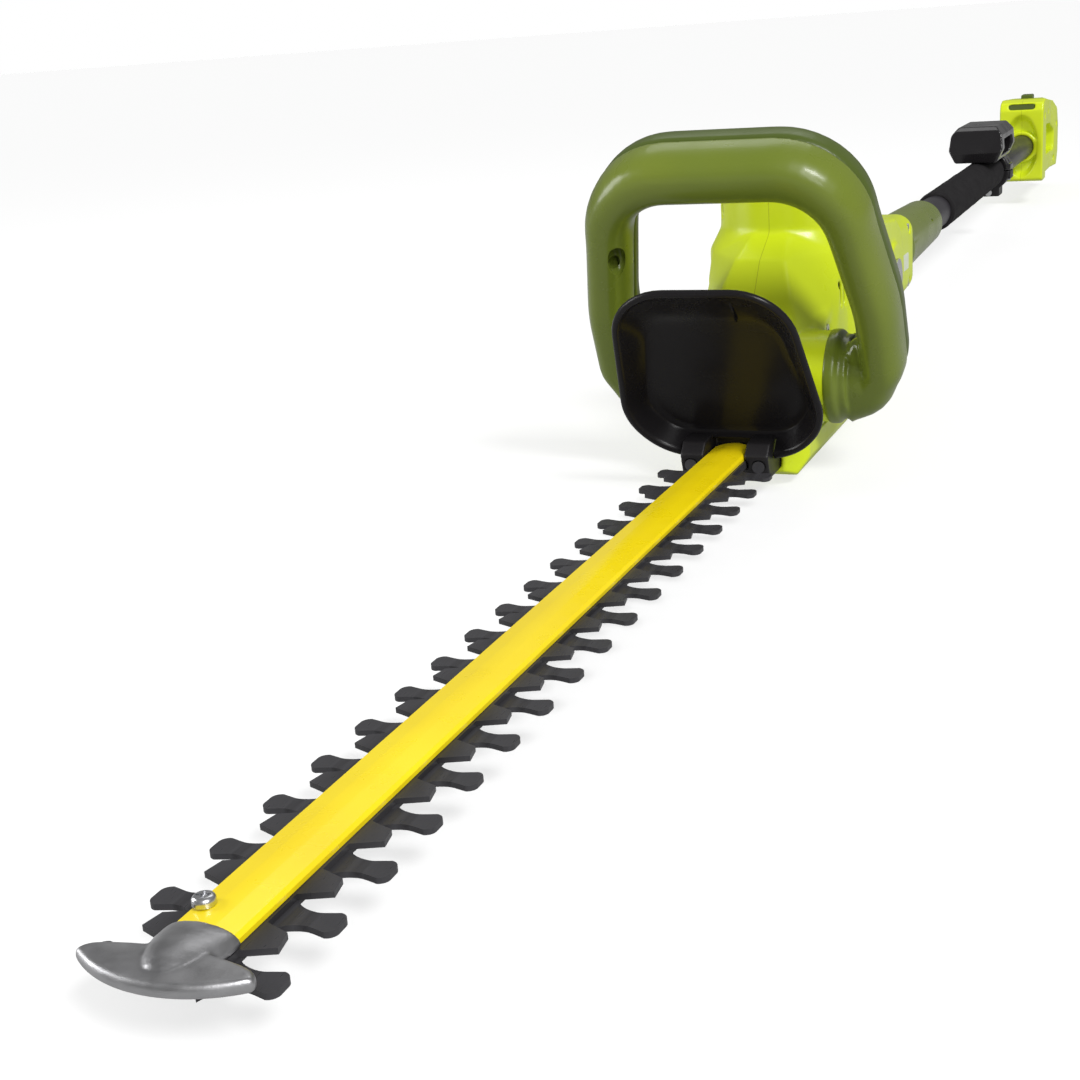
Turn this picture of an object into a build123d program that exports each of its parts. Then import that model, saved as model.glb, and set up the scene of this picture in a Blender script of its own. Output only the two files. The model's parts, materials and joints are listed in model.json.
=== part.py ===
from build123d import *

# Pole hedge trimmer: a telescoping pole with a tilting head that drives two reciprocating blades.
#
# Units are millimetres.  X is across the tool, -Y runs from the rear handle to the blade tip and Z is up.
# The drawing datum is the first tooth behind the hand shield, in the plane of the lower blade.  keep()
# moves every piece so that the origin is at the centre of the bottom of the whole tool.

import math
import os

# ---------------------------------------------------------------- driving dimensions
PITCH = 31.0  # tooth spacing of a 21 inch (533 mm) bar
TEETH = 17
STROKE = PITCH / 4  # each blade moves this far either way, and the two move oppositely
PLAY = 0.1

BLADE_T = 2.0
LOWER_Z = -1.0
UPPER_Z = LOWER_Z + BLADE_T + PLAY
BAR_Z = UPPER_Z + BLADE_T + PLAY
BAR_T = 2.2
BAR_HALF = 9.5
COVER_HALF = 11.0
COVER_EAVE = 6.1
COVER_RIDGE = 7.3
COVER_REAR_Y = 42.0
LONG_REACH = 31.0
SHORT_REACH = 22.0
LAST_Y = -(TEETH - 1) * PITCH
TIP_Y = LAST_Y - 19.5
TIP_SCREW_X, TIP_SCREW_Y = -6.6, LAST_Y + 21.0
STUD_YS = [-(i + 0.5) * PITCH for i in (1, 5, 9, 13)]
BAR_BOLT_YS = [58.0, 84.0]

GEAR_MODULE = 1.25
GEAR_TEETH = 48
PINION_TEETH = 12
GEAR_R = GEAR_MODULE * GEAR_TEETH / 2
PINION_R = GEAR_MODULE * PINION_TEETH / 2
MOTOR_Y = 165.0
CRANK_Y = MOTOR_Y - GEAR_R - PINION_R
GEAR_Z = 7.4
GEAR_T = 7.0
CAM_R = 9.0
SHAFT_R = 4.0
WINDOW_X = CAM_R + STROKE + 0.5
WINDOW_Y = CAM_R + 2 * STROKE + 0.5

BASE_Z = -14.0
SEAM_Z = 6.0
HEAD_HALF = 38.0
WALL = 2.8
HEAD_FRONT_Y = 47.0
BASE_REAR_Y = 240.0
BODY_REAR_Y = 291.0
DOME_R = 45.5
DOME_TOP_R = 38.5
DOME_STEP_Z = 99.0
DOME_STEP = 13.0
DOME_TOP_Z = 159.0
DOME_ROUND = 15.0
CAN_R = 32.0
CAN_Z0, CAN_Z1 = 26.0, 112.0
PLATE_Z = 17.0

SHIELD_LEAN = 29.0
SHIELD_Y, SHIELD_Z = 31.0, 3.0
SHIELD_DEPTH = 13.0
SHIELD_WALL = 2.6

LOOP_LEAN = 24.0
LOOP_Y, LOOP_Z = 82.0, 37.0
LOOP_RADIAL = 25.0
LOOP_DEPTH = 47.0
LOOP_SHIFT = -2.5
LOOP_WALL = 3.0
LOOP_SEAM = -5.0
LOOP_FOOT = -3.5
BOSS_FACE = 57.0

PIVOT_Y, POLE_Z = 332.0, 52.0
EAR_R = 40.0
EAR_IN, EAR_OUT = 20.5, 33.0
KNUCKLE_R = 38.0
PIN_R = 6.0
ARM_HALF = 25.0
ARM_WIDE_Y, ARM_END_Y = 376.0, 452.0

INNER_R = 12.6
OUTER_R = 14.2
TUBE_WALL = 1.3
INNER_START_Y = 400.0
INNER_END_Y = 1206.0
OUTER_START_Y = 486.0
COLLAR_Y0, COLLAR_Y1 = 462.0, 622.0
FOAM_Y0, FOAM_Y1 = 700.0, 1040.0
FOAM_R = 17.3
GRIP_Y0, GRIP_Y1 = 945.0, 1046.0
GRIP_Z0, GRIP_Z1 = 70.5, 106.0
GRIP_HALF = 27.0
CLAMP_Y0, CLAMP_Y1 = 1048.0, 1078.0
CLAMP_R = 21.0

HANDLE_Y0, HANDLE_Y1 = 1333.0, 1568.0
HANDLE_Z0, HANDLE_Z1 = 10.0, 108.0
HANDLE_HALF = 26.0
TUBE_END_Y = 1374.0
TRIGGER_Y, TRIGGER_Z = 1412.0, 82.0

ORIGIN_Y = (TIP_Y + HANDLE_Y1) / 2

parts = {}


def keep(name, shape):
    """Files a piece under its node name, moved from the drawing datum to the tool's origin."""
    parts[name] = Pos(0, -ORIGIN_Y, -BASE_Z) * shape


# ---------------------------------------------------------------- shape helpers
def cyl_x(x0, x1, y, z, r):
    return Pos((x0 + x1) / 2, y, z) * Rot(0, 90, 0) * Cylinder(r, abs(x1 - x0))


def cyl_y(x, y0, y1, z, r):
    return Pos(x, (y0 + y1) / 2, z) * Rot(90, 0, 0) * Cylinder(r, abs(y1 - y0))


def cyl_z(x, y, z0, z1, r):
    return Pos(x, y, (z0 + z1) / 2) * Cylinder(r, abs(z1 - z0))


def block(x0, x1, y0, y1, z0, z1):
    return Pos((x0 + x1) / 2, (y0 + y1) / 2, (z0 + z1) / 2) * Box(x1 - x0, y1 - y0, z1 - z0)


def tube_y(y0, y1, z, r, bore):
    return cyl_y(0, y0, y1, z, r) - cyl_y(0, y0 - 1, y1 + 1, z, bore)


def slab(face, z0, thickness):
    """A flat plate from a face drawn in the XY plane."""
    return extrude(Pos(0, 0, z0) * face, thickness)


def side_slab(face, x0, x1):
    """A side view whose x and y are the tool's Y and Z, swept across the tool from x0 to x1."""
    return extrude(Plane(origin=(x0, 0, 0), x_dir=(0, 1, 0), z_dir=(1, 0, 0)) * face, x1 - x0)


def outline(points, radius=0):
    face = make_face(Polyline(*points, close=True))
    return fillet(face.vertices(), radius) if radius else face


def union(shapes):
    whole = None
    for shape in shapes:
        whole = shape if whole is None else whole + shape
    return whole


def half(shape, side):
    """The part of a shape on one side of the tool's centre plane: side is -1 or 1."""
    wide, long = 300, 2400
    return shape & (Pos(side * wide / 2, 500, 0) * Box(wide, long, 800))


def leaning_plane(y, z, degrees):
    """A plane that leans towards the blade; its normal faces the blade."""
    lean = math.radians(degrees)
    return Plane(origin=(0, y, z), x_dir=(1, 0, 0), z_dir=(0, -math.cos(lean), -math.sin(lean)))


def screws_x(points, x_head, x_end, head_r=3.4, shank_r=1.9):
    """Pan-head screws across the tool, as one group; x_head is the outer face of the heads."""
    sign = 1 if x_end < x_head else -1
    group = []
    for y, z in points:
        head = cyl_x(x_head - 2.2 * sign, x_head, y, z, head_r)
        slots = union(Pos(x_head, y, z) * Rot(turn, 0, 0) * Box(1.6, 3.8, 0.8) for turn in (0, 90))
        group.append(head - slots + cyl_x(x_end, x_head - 2.2 * sign, y, z, shank_r))
    return Compound(group)


def gear(teeth, module, z0, thickness, x, y, phase, bore):
    """A spur gear with trapezoid teeth; phase turns it so that it meshes."""
    root, tip, pitch_r = module * (teeth / 2 - 1.2), module * (teeth / 2 + 0.9), module * teeth / 2
    step = 2 * math.pi / teeth
    points = []
    for i in range(teeth):
        for offset, r in ((-0.30, root), (-0.235, pitch_r), (-0.11, tip), (0.11, tip), (0.235, pitch_r),
                          (0.30, root)):
            angle = phase + (i + offset) * step
            points.append((x + r * math.cos(angle), y + r * math.sin(angle)))
    wheel = slab(make_face(Polyline(*points, close=True)), z0, thickness)
    return wheel - cyl_z(x, y, z0 - 1, z0 + thickness + 1, bore)


# ---------------------------------------------------------------- blades and bar
def long_tooth():
    """A blunt guide tooth: waisted, with a flared end that keeps thick stems out."""
    root, waist, flare = 11.5, 3.7, 5.3
    upper = Spline((11, root), (15, 5.6), (21, waist), (LONG_REACH - 3, flare),
                   tangents=((0.35, -1), (1, 0.25)))
    nose_up = ThreePointArc((LONG_REACH - 3, flare), (LONG_REACH - 0.8, flare - 1.2),
                            (LONG_REACH, flare - 3.6))
    nose = Line((LONG_REACH, flare - 3.6), (LONG_REACH, -flare + 3.6))
    nose_down = ThreePointArc((LONG_REACH, -flare + 3.6), (LONG_REACH - 0.8, -flare + 1.2),
                              (LONG_REACH - 3, -flare))
    lower = Spline((LONG_REACH - 3, -flare), (21, -waist), (15, -5.6), (11, -root),
                   tangents=((-1, 0.25), (-0.35, -1)))
    return make_face([upper, nose_up, nose, nose_down, lower, Line((11, -root), (11, root))])


def short_tooth():
    """A cutting tooth with a slanted end."""
    return outline([(11, 8.0), (SHORT_REACH - 1.5, 4.2), (SHORT_REACH, -3.4), (SHORT_REACH - 2, -4.2),
                    (11, -8.0)])


def blade(tooth, phase, count, z):
    """A spine with teeth on both sides and a tail whose window surrounds the cam's path."""
    spine_y0 = LAST_Y - 5.3
    spine = Pos(0, (spine_y0 + CRANK_Y) / 2) * Rectangle(24, CRANK_Y - spine_y0)
    tail = Pos(0, CRANK_Y) * RectangleRounded(2 * WINDOW_X + 12, 2 * WINDOW_Y + 12, 8)
    plate = spine + tail - Pos(0, CRANK_Y) * RectangleRounded(2 * WINDOW_X, 2 * WINDOW_Y, 6)
    for y in [*STUD_YS, *BAR_BOLT_YS]:
        plate -= Pos(0, y) * Rot(0, 0, 90) * SlotOverall(2 * STROKE + 6.8, 6.4)
    solid = slab(plate, z, BLADE_T)
    right = slab(tooth, z, BLADE_T)
    pair = right + mirror(right, about=Plane.YZ)
    return solid + union(Pos(0, -(i + phase) * PITCH, 0) * pair for i in range(count))


def build_blades():
    keep("lower_blade", blade(long_tooth(), 0, TEETH, LOWER_Z))
    keep("upper_blade", blade(short_tooth(), 0.5, TEETH - 1, UPPER_Z))


def build_bar():
    bar_front = TIP_SCREW_Y + 12
    bar = block(-BAR_HALF, BAR_HALF, bar_front, 94, BAR_Z, BAR_Z + BAR_T)
    for y in [*STUD_YS, *BAR_BOLT_YS]:
        bar -= cyl_z(0, y, 0, 20, 2.6)
    keep("support_bar", bar)
    studs, nuts = [], []
    for y in STUD_YS:
        studs.append(cyl_z(0, y, -5.6, BAR_Z + BAR_T, 2.5) + cyl_z(0, y, -1.4, BAR_Z - PLAY, 3.0))
        nut = cyl_z(0, y, -2.4, -1.4, 7.5) + extrude(Pos(0, y, -2.4) * RegularPolygon(4.6, 6), -3)
        nuts.append(nut - cyl_z(0, y, -9, 9, 2.55))
    keep("guide_studs", Compound(studs))
    keep("flange_nuts", Compound(nuts))
    bolts = [cyl_z(0, y, -10, BAR_Z + BAR_T, 2.5)
             + extrude(Pos(0, y, BAR_Z + BAR_T) * RegularPolygon(4.4, 6), 1.6) for y in BAR_BOLT_YS]
    keep("bar_bolts", Compound(bolts))


def build_bar_cover():
    """The yellow channel over the support bar: a low roof section with a rounded rear end."""
    front, rear = LAST_Y + 10, COVER_REAR_Y
    low = BAR_Z + 0.1
    roof = make_face([
        Polyline((-3, COVER_RIDGE - 0.15), (-COVER_HALF + 1.2, COVER_EAVE), (-COVER_HALF, COVER_EAVE - 1.2),
                 (-COVER_HALF, low), (COVER_HALF, low), (COVER_HALF, COVER_EAVE - 1.2),
                 (COVER_HALF - 1.2, COVER_EAVE), (3, COVER_RIDGE - 0.15)),
        ThreePointArc((3, COVER_RIDGE - 0.15), (0, COVER_RIDGE), (-3, COVER_RIDGE - 0.15)),
    ])
    plane = Plane(origin=(0, rear, 0), x_dir=(1, 0, 0), z_dir=(0, -1, 0))
    shell = extrude(plane * roof, rear - front)
    plan = Pos(0, (front + rear) / 2) * Rectangle(2 * COVER_HALF, rear - front)
    shell = shell & slab(fillet(plan.vertices().sort_by(Axis.Y)[2:], 9), 0, 20)
    inner_half = BAR_HALF + 0.1
    shell -= block(-inner_half, inner_half, front - 1, rear + 1, 0, BAR_Z + BAR_T + 0.05)
    shell -= cyl_z(TIP_SCREW_X, TIP_SCREW_Y, 0, 20, 2.1)
    keep("bar_cover", shell)


def build_tip_guard():
    """The cast nose: a crescent bumper above the blades with a wedge that caps the end of the bar."""
    reach, back, z0 = 28.2, LAST_Y - 4.5, BAR_Z + 0.1
    crescent = make_face([
        ThreePointArc((-reach, back), (0, TIP_Y), (reach, back)),
        ThreePointArc((reach, back), (reach - 2, back + 4.4), (reach - 8, back + 4.2)),
        ThreePointArc((reach - 8, back + 4.2), (0, back + 3.4), (-reach + 8, back + 4.2)),
        ThreePointArc((-reach + 8, back + 4.2), (-reach + 2, back + 4.4), (-reach, back)),
    ])
    bumper = slab(crescent, z0, 4.8)
    bumper = fillet(bumper.edges().group_by(Axis.Z)[-1], 1.4)
    y0, y1, y2 = LAST_Y + 9.9, LAST_Y + 4, LAST_Y - 15
    wedge = side_slab(outline([(y0, z0), (y0, COVER_RIDGE + 1.6), (y1, COVER_RIDGE + 1.8),
                               (y2, z0 + 3), (y2, z0)]), -12.6, 12.6)
    taper = outline([(-12.2, y0), (-11.6, y1), (-6, y2), (6, y2), (11.6, y1), (12.2, y0)])
    wedge = wedge & slab(taper, 0, 30)
    tongue = block(-BAR_HALF, BAR_HALF, y0 - 1, TIP_SCREW_Y + 11.5, BAR_Z, BAR_Z + BAR_T)
    keep("tip_guard", bumper + wedge + tongue - cyl_z(TIP_SCREW_X, TIP_SCREW_Y, 0, 20, 1.95))
    head = Cylinder(3.6, 2.8, align=(Align.CENTER, Align.CENTER, Align.MIN))
    head = fillet(head.faces().sort_by(Axis.Z)[-1].edges(), 1.6)
    head -= union(Pos(0, 0, 2.6) * Rot(0, 0, turn) * Box(4.2, 0.9, 2) for turn in (20, 110))
    screw = Pos(TIP_SCREW_X, TIP_SCREW_Y, COVER_RIDGE) * head
    keep("tip_screw", screw + cyl_z(TIP_SCREW_X, TIP_SCREW_Y, BAR_Z + 0.1, COVER_RIDGE, 1.9))


# ---------------------------------------------------------------- hand shield and bar carrier
def dish_outline(points, low_radius, top_radius):
    """A closed outline whose two top corners are rounder than the others."""
    face = make_face(Polyline(*points, close=True))
    corners = face.vertices().sort_by(Axis.Y)
    face = fillet(corners[-2:], top_radius)
    low = [v for v in face.vertices() if v.Y < points[1][1] + 1]
    return fillet(low, low_radius)


def build_shield():
    """A dished shield that leans towards the blade, notched at the bottom for the bar carrier."""
    rim_plane = leaning_plane(SHIELD_Y, SHIELD_Z, SHIELD_LEAN)
    rim = dish_outline([(-36, -1), (-56.5, 24), (-46, 113), (46, 113), (56.5, 24), (36, -1)], 20, 32)
    floor = dish_outline([(-33, 7), (-45.5, 25), (-35, 83), (35, 83), (45.5, 25), (33, 7)], 10, 18)
    outer = loft([rim_plane.offset(-SHIELD_DEPTH) * floor, rim_plane * rim])
    inner = loft([rim_plane.offset(SHIELD_WALL - SHIELD_DEPTH) * offset(floor, -SHIELD_WALL),
                  rim_plane.offset(0.5) * offset(rim, -SHIELD_WALL)])
    keep("hand_shield", outer - inner - block(-25, 25, -30, 90, -20, 15))
    carrier = side_slab(outline([(22, -7), (18, 6), (24, 12), (HEAD_FRONT_Y, 14.8), (HEAD_FRONT_Y, -7)]),
                        -24.5, 24.5)
    carrier -= block(-COVER_HALF - 0.4, COVER_HALF + 0.4, 0, COVER_REAR_Y + 0.5, BAR_Z - 0.1, 40)
    carrier -= block(-BAR_HALF - 0.1, BAR_HALF + 0.1, 0, 90, BAR_Z - 0.2, BAR_Z + BAR_T + 0.1)
    carrier -= block(-13, 13, 0, 90, -2.0, BAR_Z - 0.05)
    screws = []
    for x in (-19, 19):
        carrier = carrier - cyl_y(x, 10, 20.6, 0, 3.6) - cyl_y(x, 10, 31, 0, 1.7)
        screws.append(cyl_y(x, 18.6, 20.6, 0, 3.3) + cyl_y(x, 20.6, 30, 0, 1.65))
    keep("bar_carrier", carrier)
    keep("shield_screws", Compound(screws))


# ---------------------------------------------------------------- loop handle
def loop_path():
    right = [(BOSS_FACE + 0.3, LOOP_FOOT), (67, LOOP_FOOT), (76, 11), (75.5, 48), (60, 132)]
    left = [(-x, y) for x, y in reversed(right)]
    return FilletPolyline(*right, *left, radius=[14, 14, 120, 34, 34, 120, 14, 14])


def loop_half(low, high, shrink):
    """One half of the loop: a channel section from depth low to high, swept round the loop."""
    radial, depth = LOOP_RADIAL - 2 * shrink, LOOP_DEPTH - 2 * shrink
    path = loop_path()
    start = Plane(origin=(BOSS_FACE + 0.3, LOOP_FOOT, 0), x_dir=(0, 1, 0), z_dir=(1, 0, 0))
    keep_box = Pos(0, (low + high) / 2) * Rectangle(80, high - low)
    skin = RectangleRounded(radial, depth, 11)
    core = RectangleRounded(radial - 2 * LOOP_WALL, depth - 2 * LOOP_WALL, 8)
    section = Pos(0, LOOP_SHIFT) * (skin - core) & keep_box
    return sweep(start * section, path=path, transition=Transition.ROUND)


def build_loop():
    plane = leaning_plane(LOOP_Y, LOOP_Z, LOOP_LEAN)
    to_tool = plane.location
    screw_spots = [(-70.6, 74), (70.6, 74), (-30, 132), (30, 132)]
    front = loop_half(LOOP_SEAM, LOOP_DEPTH, 0)
    rear = loop_half(-LOOP_DEPTH, LOOP_SEAM - 0.05, 0.6)
    back = LOOP_SHIFT - LOOP_DEPTH / 2
    pockets = union(Pos(x, l, back) * Cylinder(3.6, 9) for x, l in screw_spots)
    keep("loop_front", to_tool * front)
    keep("loop_rear", to_tool * (rear - pockets))
    heads = [Pos(x, l, back + 2.6) * Cylinder(3.3, 2.4) for x, l in screw_spots]
    keep("loop_screws", to_tool * Compound(heads))


# ---------------------------------------------------------------- head housing
HEAD_SCREWS = [(62, 22), (108, 58), (222, 92), (222, 24), (270, 82), (264, 24)]
BASE_SCREWS = [(x, y) for y in (66, 205) for x in (-26, 26)]


def head_plan(front, rear):
    """The head from above: corners cut at the front."""
    return outline([(-27, front), (-HEAD_HALF, front + 14), (-HEAD_HALF, rear), (HEAD_HALF, rear),
                    (HEAD_HALF, front + 14), (27, front)])


def body_profile():
    return outline([(HEAD_FRONT_Y, SEAM_Z), (HEAD_FRONT_Y, 42), (62, 54), (112, 72), (150, 102), (252, 105),
                    (BODY_REAR_Y, 84), (BODY_REAR_Y, 18), (BASE_REAR_Y, SEAM_Z)])


def face_section(z, half_width, y, wide, wide_y, inset=0):
    """A level section of the sloped face in front of the dome."""
    points = [(-half_width, y), (half_width, y), (wide, wide_y), (wide, MOTOR_Y), (-wide, MOTOR_Y),
              (-wide, wide_y)]
    face = make_face(Polyline(*points, close=True))
    return Plane.XY.offset(z) * (offset(face, -inset) if inset else face)


def front_face(inset=0):
    """The sloped face that leads up to the dome."""
    return loft([face_section(40, 35, 57, 41, 112, inset),
                 face_section(DOME_STEP_Z, 14.5, 104, 40, 143, inset),
                 face_section(DOME_STEP_Z + DOME_STEP, 9, 128, 35, 155, inset)], ruled=True)


def dome(inset):
    """The stepped drum over the motor; inset shrinks it for the cavity."""
    low_r, top_r, top_z = DOME_R - inset, DOME_TOP_R - inset, DOME_TOP_Z - inset
    step_z = DOME_STEP_Z + DOME_STEP / 2
    low = cyl_z(0, MOTOR_Y, 42, DOME_STEP_Z, low_r) + Pos(0, MOTOR_Y, 36) * Cone(low_r - 8.5, low_r, 12)
    top = cyl_z(0, MOTOR_Y, DOME_STEP_Z, top_z, top_r)
    top = fillet(top.edges().group_by(Axis.Z)[-1], DOME_ROUND - inset)
    return low + top + Pos(0, MOTOR_Y, step_z) * Cone(low_r, top_r, DOME_STEP)


def housing_solid():
    body = side_slab(body_profile(), -HEAD_HALF, HEAD_HALF)
    rim = [e for e in body.edges()
           if abs(abs(e.center().X) - HEAD_HALF) < 0.1 and e.center().Z > SEAM_Z + 0.5]
    body = fillet(rim, 8) & slab(head_plan(44, 400), 0, 200)
    boss = cyl_x(-BOSS_FACE, BOSS_FACE, LOOP_Y, LOOP_Z, 23)
    boss_lip = cyl_x(-BOSS_FACE + 5, BOSS_FACE - 5, LOOP_Y, LOOP_Z, 25.5)
    ears = side_slab(outline([(262, 14), (PIVOT_Y, POLE_Z - EAR_R), (PIVOT_Y, POLE_Z + EAR_R), (262, 99)]),
                     -EAR_OUT, EAR_OUT)
    ears += cyl_x(-EAR_OUT, EAR_OUT, PIVOT_Y, POLE_Z, EAR_R)
    pad = cyl_x(-EAR_OUT - 2, EAR_OUT + 2, PIVOT_Y, POLE_Z, 24)
    return body + front_face() + dome(0) + boss + boss_lip + ears + pad


def housing_cavity():
    body = side_slab(offset(body_profile(), -WALL), -HEAD_HALF + WALL, HEAD_HALF - WALL)
    body += block(-HEAD_HALF + WALL, HEAD_HALF - WALL, HEAD_FRONT_Y + WALL, BASE_REAR_Y - WALL, 0, 20)
    body = body & slab(offset(head_plan(44, 400), -WALL), -10, 200)
    knuckle = block(-EAR_IN, EAR_IN, BODY_REAR_Y, PIVOT_Y + 60, -40, 140)
    return body + front_face(WALL) + dome(WALL) + knuckle


def vents():
    return union(Pos(0, y + 34 * math.cos(math.radians(58 + 16 * i)), z) * Box(150, 3.2, 15)
                 for y, z in ((MOTOR_Y - 14, 74), (MOTOR_Y, 126)) for i in range(5))


def build_housing():
    whole = housing_solid() - housing_cavity() - vents()
    bosses = union(cyl_x(-HEAD_HALF + 1, HEAD_HALF - 1, y, z, 5) for y, z in HEAD_SCREWS)
    whole = whole + bosses
    for y, z in HEAD_SCREWS:
        whole -= cyl_x(-22, HEAD_HALF + 20, y, z, 1.95)
        whole -= cyl_x(HEAD_HALF - 2.4, HEAD_HALF + 20, y, z, 3.6)
    whole -= cyl_x(-60, 60, PIVOT_Y, POLE_Z, PIN_R)
    whole -= cyl_x(-60, -EAR_IN - 4, PIVOT_Y, POLE_Z, 16.3)
    keep("head_left", half(whole, -1))
    keep("head_right", half(whole, 1))
    keep("head_screws", screws_x(HEAD_SCREWS, HEAD_HALF - 0.1, -20))


def build_base():
    """The tray under the head that holds the blade tails and the crank."""
    plan = outline([(-27, 44), (-HEAD_HALF, 58), (-HEAD_HALF, 218), (-30, BASE_REAR_Y), (30, BASE_REAR_Y),
                    (HEAD_HALF, 218), (HEAD_HALF, 58), (27, 44)])
    side = outline([(56, BASE_Z), (44, -9), (44, SEAM_Z), (BASE_REAR_Y, SEAM_Z), (216, BASE_Z)])
    front = outline([(-31, BASE_Z), (-HEAD_HALF, -4), (-HEAD_HALF, SEAM_Z), (HEAD_HALF, SEAM_Z),
                     (HEAD_HALF, -4), (31, BASE_Z)])
    tray = slab(plan, BASE_Z, SEAM_Z - BASE_Z) & side_slab(side, -60, 60) & extrude(Plane.XZ * front, -400)
    tray = chamfer(tray.edges().group_by(Axis.Z)[0], 1.0)
    room = outline([(-26.5, HEAD_FRONT_Y + WALL), (-HEAD_HALF + WALL, 61.5), (-HEAD_HALF + WALL, 214),
                    (HEAD_HALF - WALL, 214), (HEAD_HALF - WALL, 61.5), (26.5, HEAD_FRONT_Y + WALL)])
    tray -= slab(room, -3, 40)
    tray -= slab(room, BASE_Z + WALL, 40) & block(-29, 29, 56, 400, -40, 40)
    tray -= block(-24.8, 24.8, 0, HEAD_FRONT_Y + 0.1, -7.2, 40)
    tray -= block(-13, 13, 0, 60, -2.0, 40)
    floor = BASE_Z + WALL
    tray += union(cyl_z(0, y, floor, LOWER_Z - 0.3, 6.5) for y in BAR_BOLT_YS)
    tray += union(cyl_z(x, y, floor, SEAM_Z - 0.1, 4.5) for x, y in BASE_SCREWS)
    tray += cyl_z(0, CRANK_Y, floor, -8.0, 11.5)
    for y in BAR_BOLT_YS:
        tray -= cyl_z(0, y, -10, 9, 2.55)
    tray -= cyl_z(0, CRANK_Y, floor + 0.2, 9, 8.05)
    for x, y in BASE_SCREWS:
        tray = tray - cyl_z(x, y, BASE_Z - 1, BASE_Z + 2.5, 3.6) - cyl_z(x, y, BASE_Z, 20, 1.95)
    keep("base_plate", tray)
    keep("base_screws", Compound([cyl_z(x, y, BASE_Z + 0.4, BASE_Z + 2.4, 3.4)
                                  + cyl_z(x, y, BASE_Z + 2.4, SEAM_Z - 0.2, 1.9) for x, y in BASE_SCREWS]))


# ---------------------------------------------------------------- gearbox and motor
def build_gearbox():
    plate = slab(outline([(-33, 92), (-33, 205), (33, 205), (33, 92)], 10), PLATE_Z, 3)
    plate = plate + cyl_z(0, CRANK_Y, PLATE_Z, PLATE_Z + 6, 11) - cyl_z(0, CRANK_Y, PLATE_Z - 1, 40, 8.05)
    plate = plate + cyl_z(0, MOTOR_Y, PLATE_Z, CAN_Z0, 22) - cyl_z(0, MOTOR_Y, 0, 60, 17)
    keep("gearbox_plate", plate)
    seats = [(CRANK_Y, PLATE_Z + 0.5, 5, SHAFT_R), (CRANK_Y, -10.9, 2.7, SHAFT_R),
             (MOTOR_Y, CAN_Z0 + 0.2, 5, 3.0), (MOTOR_Y, CAN_Z1 - 5.2, 5, 3.0)]
    rings = [cyl_z(0, y, z, z + tall, 8) - cyl_z(0, y, -20, 200, r + 0.05) for y, z, tall, r in seats]
    keep("shaft_bearings", Compound(rings))
    shaft = cyl_z(0, CRANK_Y, -10.8, PLATE_Z + 5.4, SHAFT_R)
    cams = []
    for sign, z0, z1 in ((1, -3.0, UPPER_Z - PLAY / 2), (-1, UPPER_Z - PLAY / 2, GEAR_Z - 0.4)):
        cams.append(cyl_z(0, CRANK_Y + sign * STROKE, z0, z1, CAM_R) - cyl_z(0, CRANK_Y, -20, 40, SHAFT_R))
    keep("crank_shaft", shaft)
    keep("lower_cam", cams[0])
    keep("upper_cam", cams[1])
    wheel = gear(GEAR_TEETH, GEAR_MODULE, GEAR_Z, GEAR_T, 0, CRANK_Y, math.pi / 2, SHAFT_R)
    for i in range(5):
        a = 2 * math.pi * i / 5
        wheel -= cyl_z(18 * math.cos(a), CRANK_Y + 18 * math.sin(a), 0, 40, 6)
    keep("drive_gear", wheel)
    half_tooth = math.pi / PINION_TEETH
    keep("pinion", gear(PINION_TEETH, GEAR_MODULE, GEAR_Z - 0.6, GEAR_T + 1.2, 0, MOTOR_Y,
                        -math.pi / 2 + half_tooth, 3.0))


def build_motor():
    can = cyl_z(0, MOTOR_Y, CAN_Z0, CAN_Z1, CAN_R) - cyl_z(0, MOTOR_Y, CAN_Z0 + 3, CAN_Z1 - 3, CAN_R - 3)
    can -= cyl_z(0, MOTOR_Y, 0, 200, 8.05)
    can -= block(-60, 60, MOTOR_Y - 6, MOTOR_Y + 6, 88, 102)
    keep("motor_can", can)
    keep("motor_shaft", cyl_z(0, MOTOR_Y, 6, 136, 3.0))
    core = slab(union([Pos(0, MOTOR_Y) * Circle(13)] + [
        Pos(0, MOTOR_Y) * Rot(0, 0, 60 * i) * (Pos(16, 0) * Rectangle(12, 6) + Pos(22, 0) * Rectangle(4, 16))
        for i in range(6)]), 40, 38)
    commutator = cyl_z(0, MOTOR_Y, 86, 100, 10)
    keep("rotor_core", core + cyl_z(0, MOTOR_Y, 78, 86, 7) + commutator - cyl_z(0, MOTOR_Y, 0, 200, 3.0))
    keep("motor_magnets", Compound([slab(
        (Pos(0, MOTOR_Y) * Circle(CAN_R - 3.1) - Pos(0, MOTOR_Y) * Circle(CAN_R - 6.3))
        & (Pos(s * 30, MOTOR_Y) * Rectangle(40, 44)), 36, 46) for s in (-1, 1)]))
    keep("carbon_brushes", Compound([block(min(s * 10.3, s * 20), max(s * 10.3, s * 20), MOTOR_Y - 3,
                                           MOTOR_Y + 3, 90, 98) for s in (-1, 1)]))
    hub = cyl_z(0, MOTOR_Y, 118, 130, 7)
    disc = cyl_z(0, MOTOR_Y, 118, 120, 30)
    vanes = union(Pos(0, MOTOR_Y, 124) * Rot(0, 0, 360 / 9 * i) * Pos(18.5, 0, 0) * Rot(0, 0, 20)
                  * Box(20, 1.6, 9) for i in range(9))
    keep("cooling_fan", hub + disc + vanes - cyl_z(0, MOTOR_Y, 0, 200, 3.0))


# ---------------------------------------------------------------- tilting arm
ARM_SCREWS = [(366, 76), (390, 30), (394, 74), (438, 72), (438, 32)]


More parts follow.
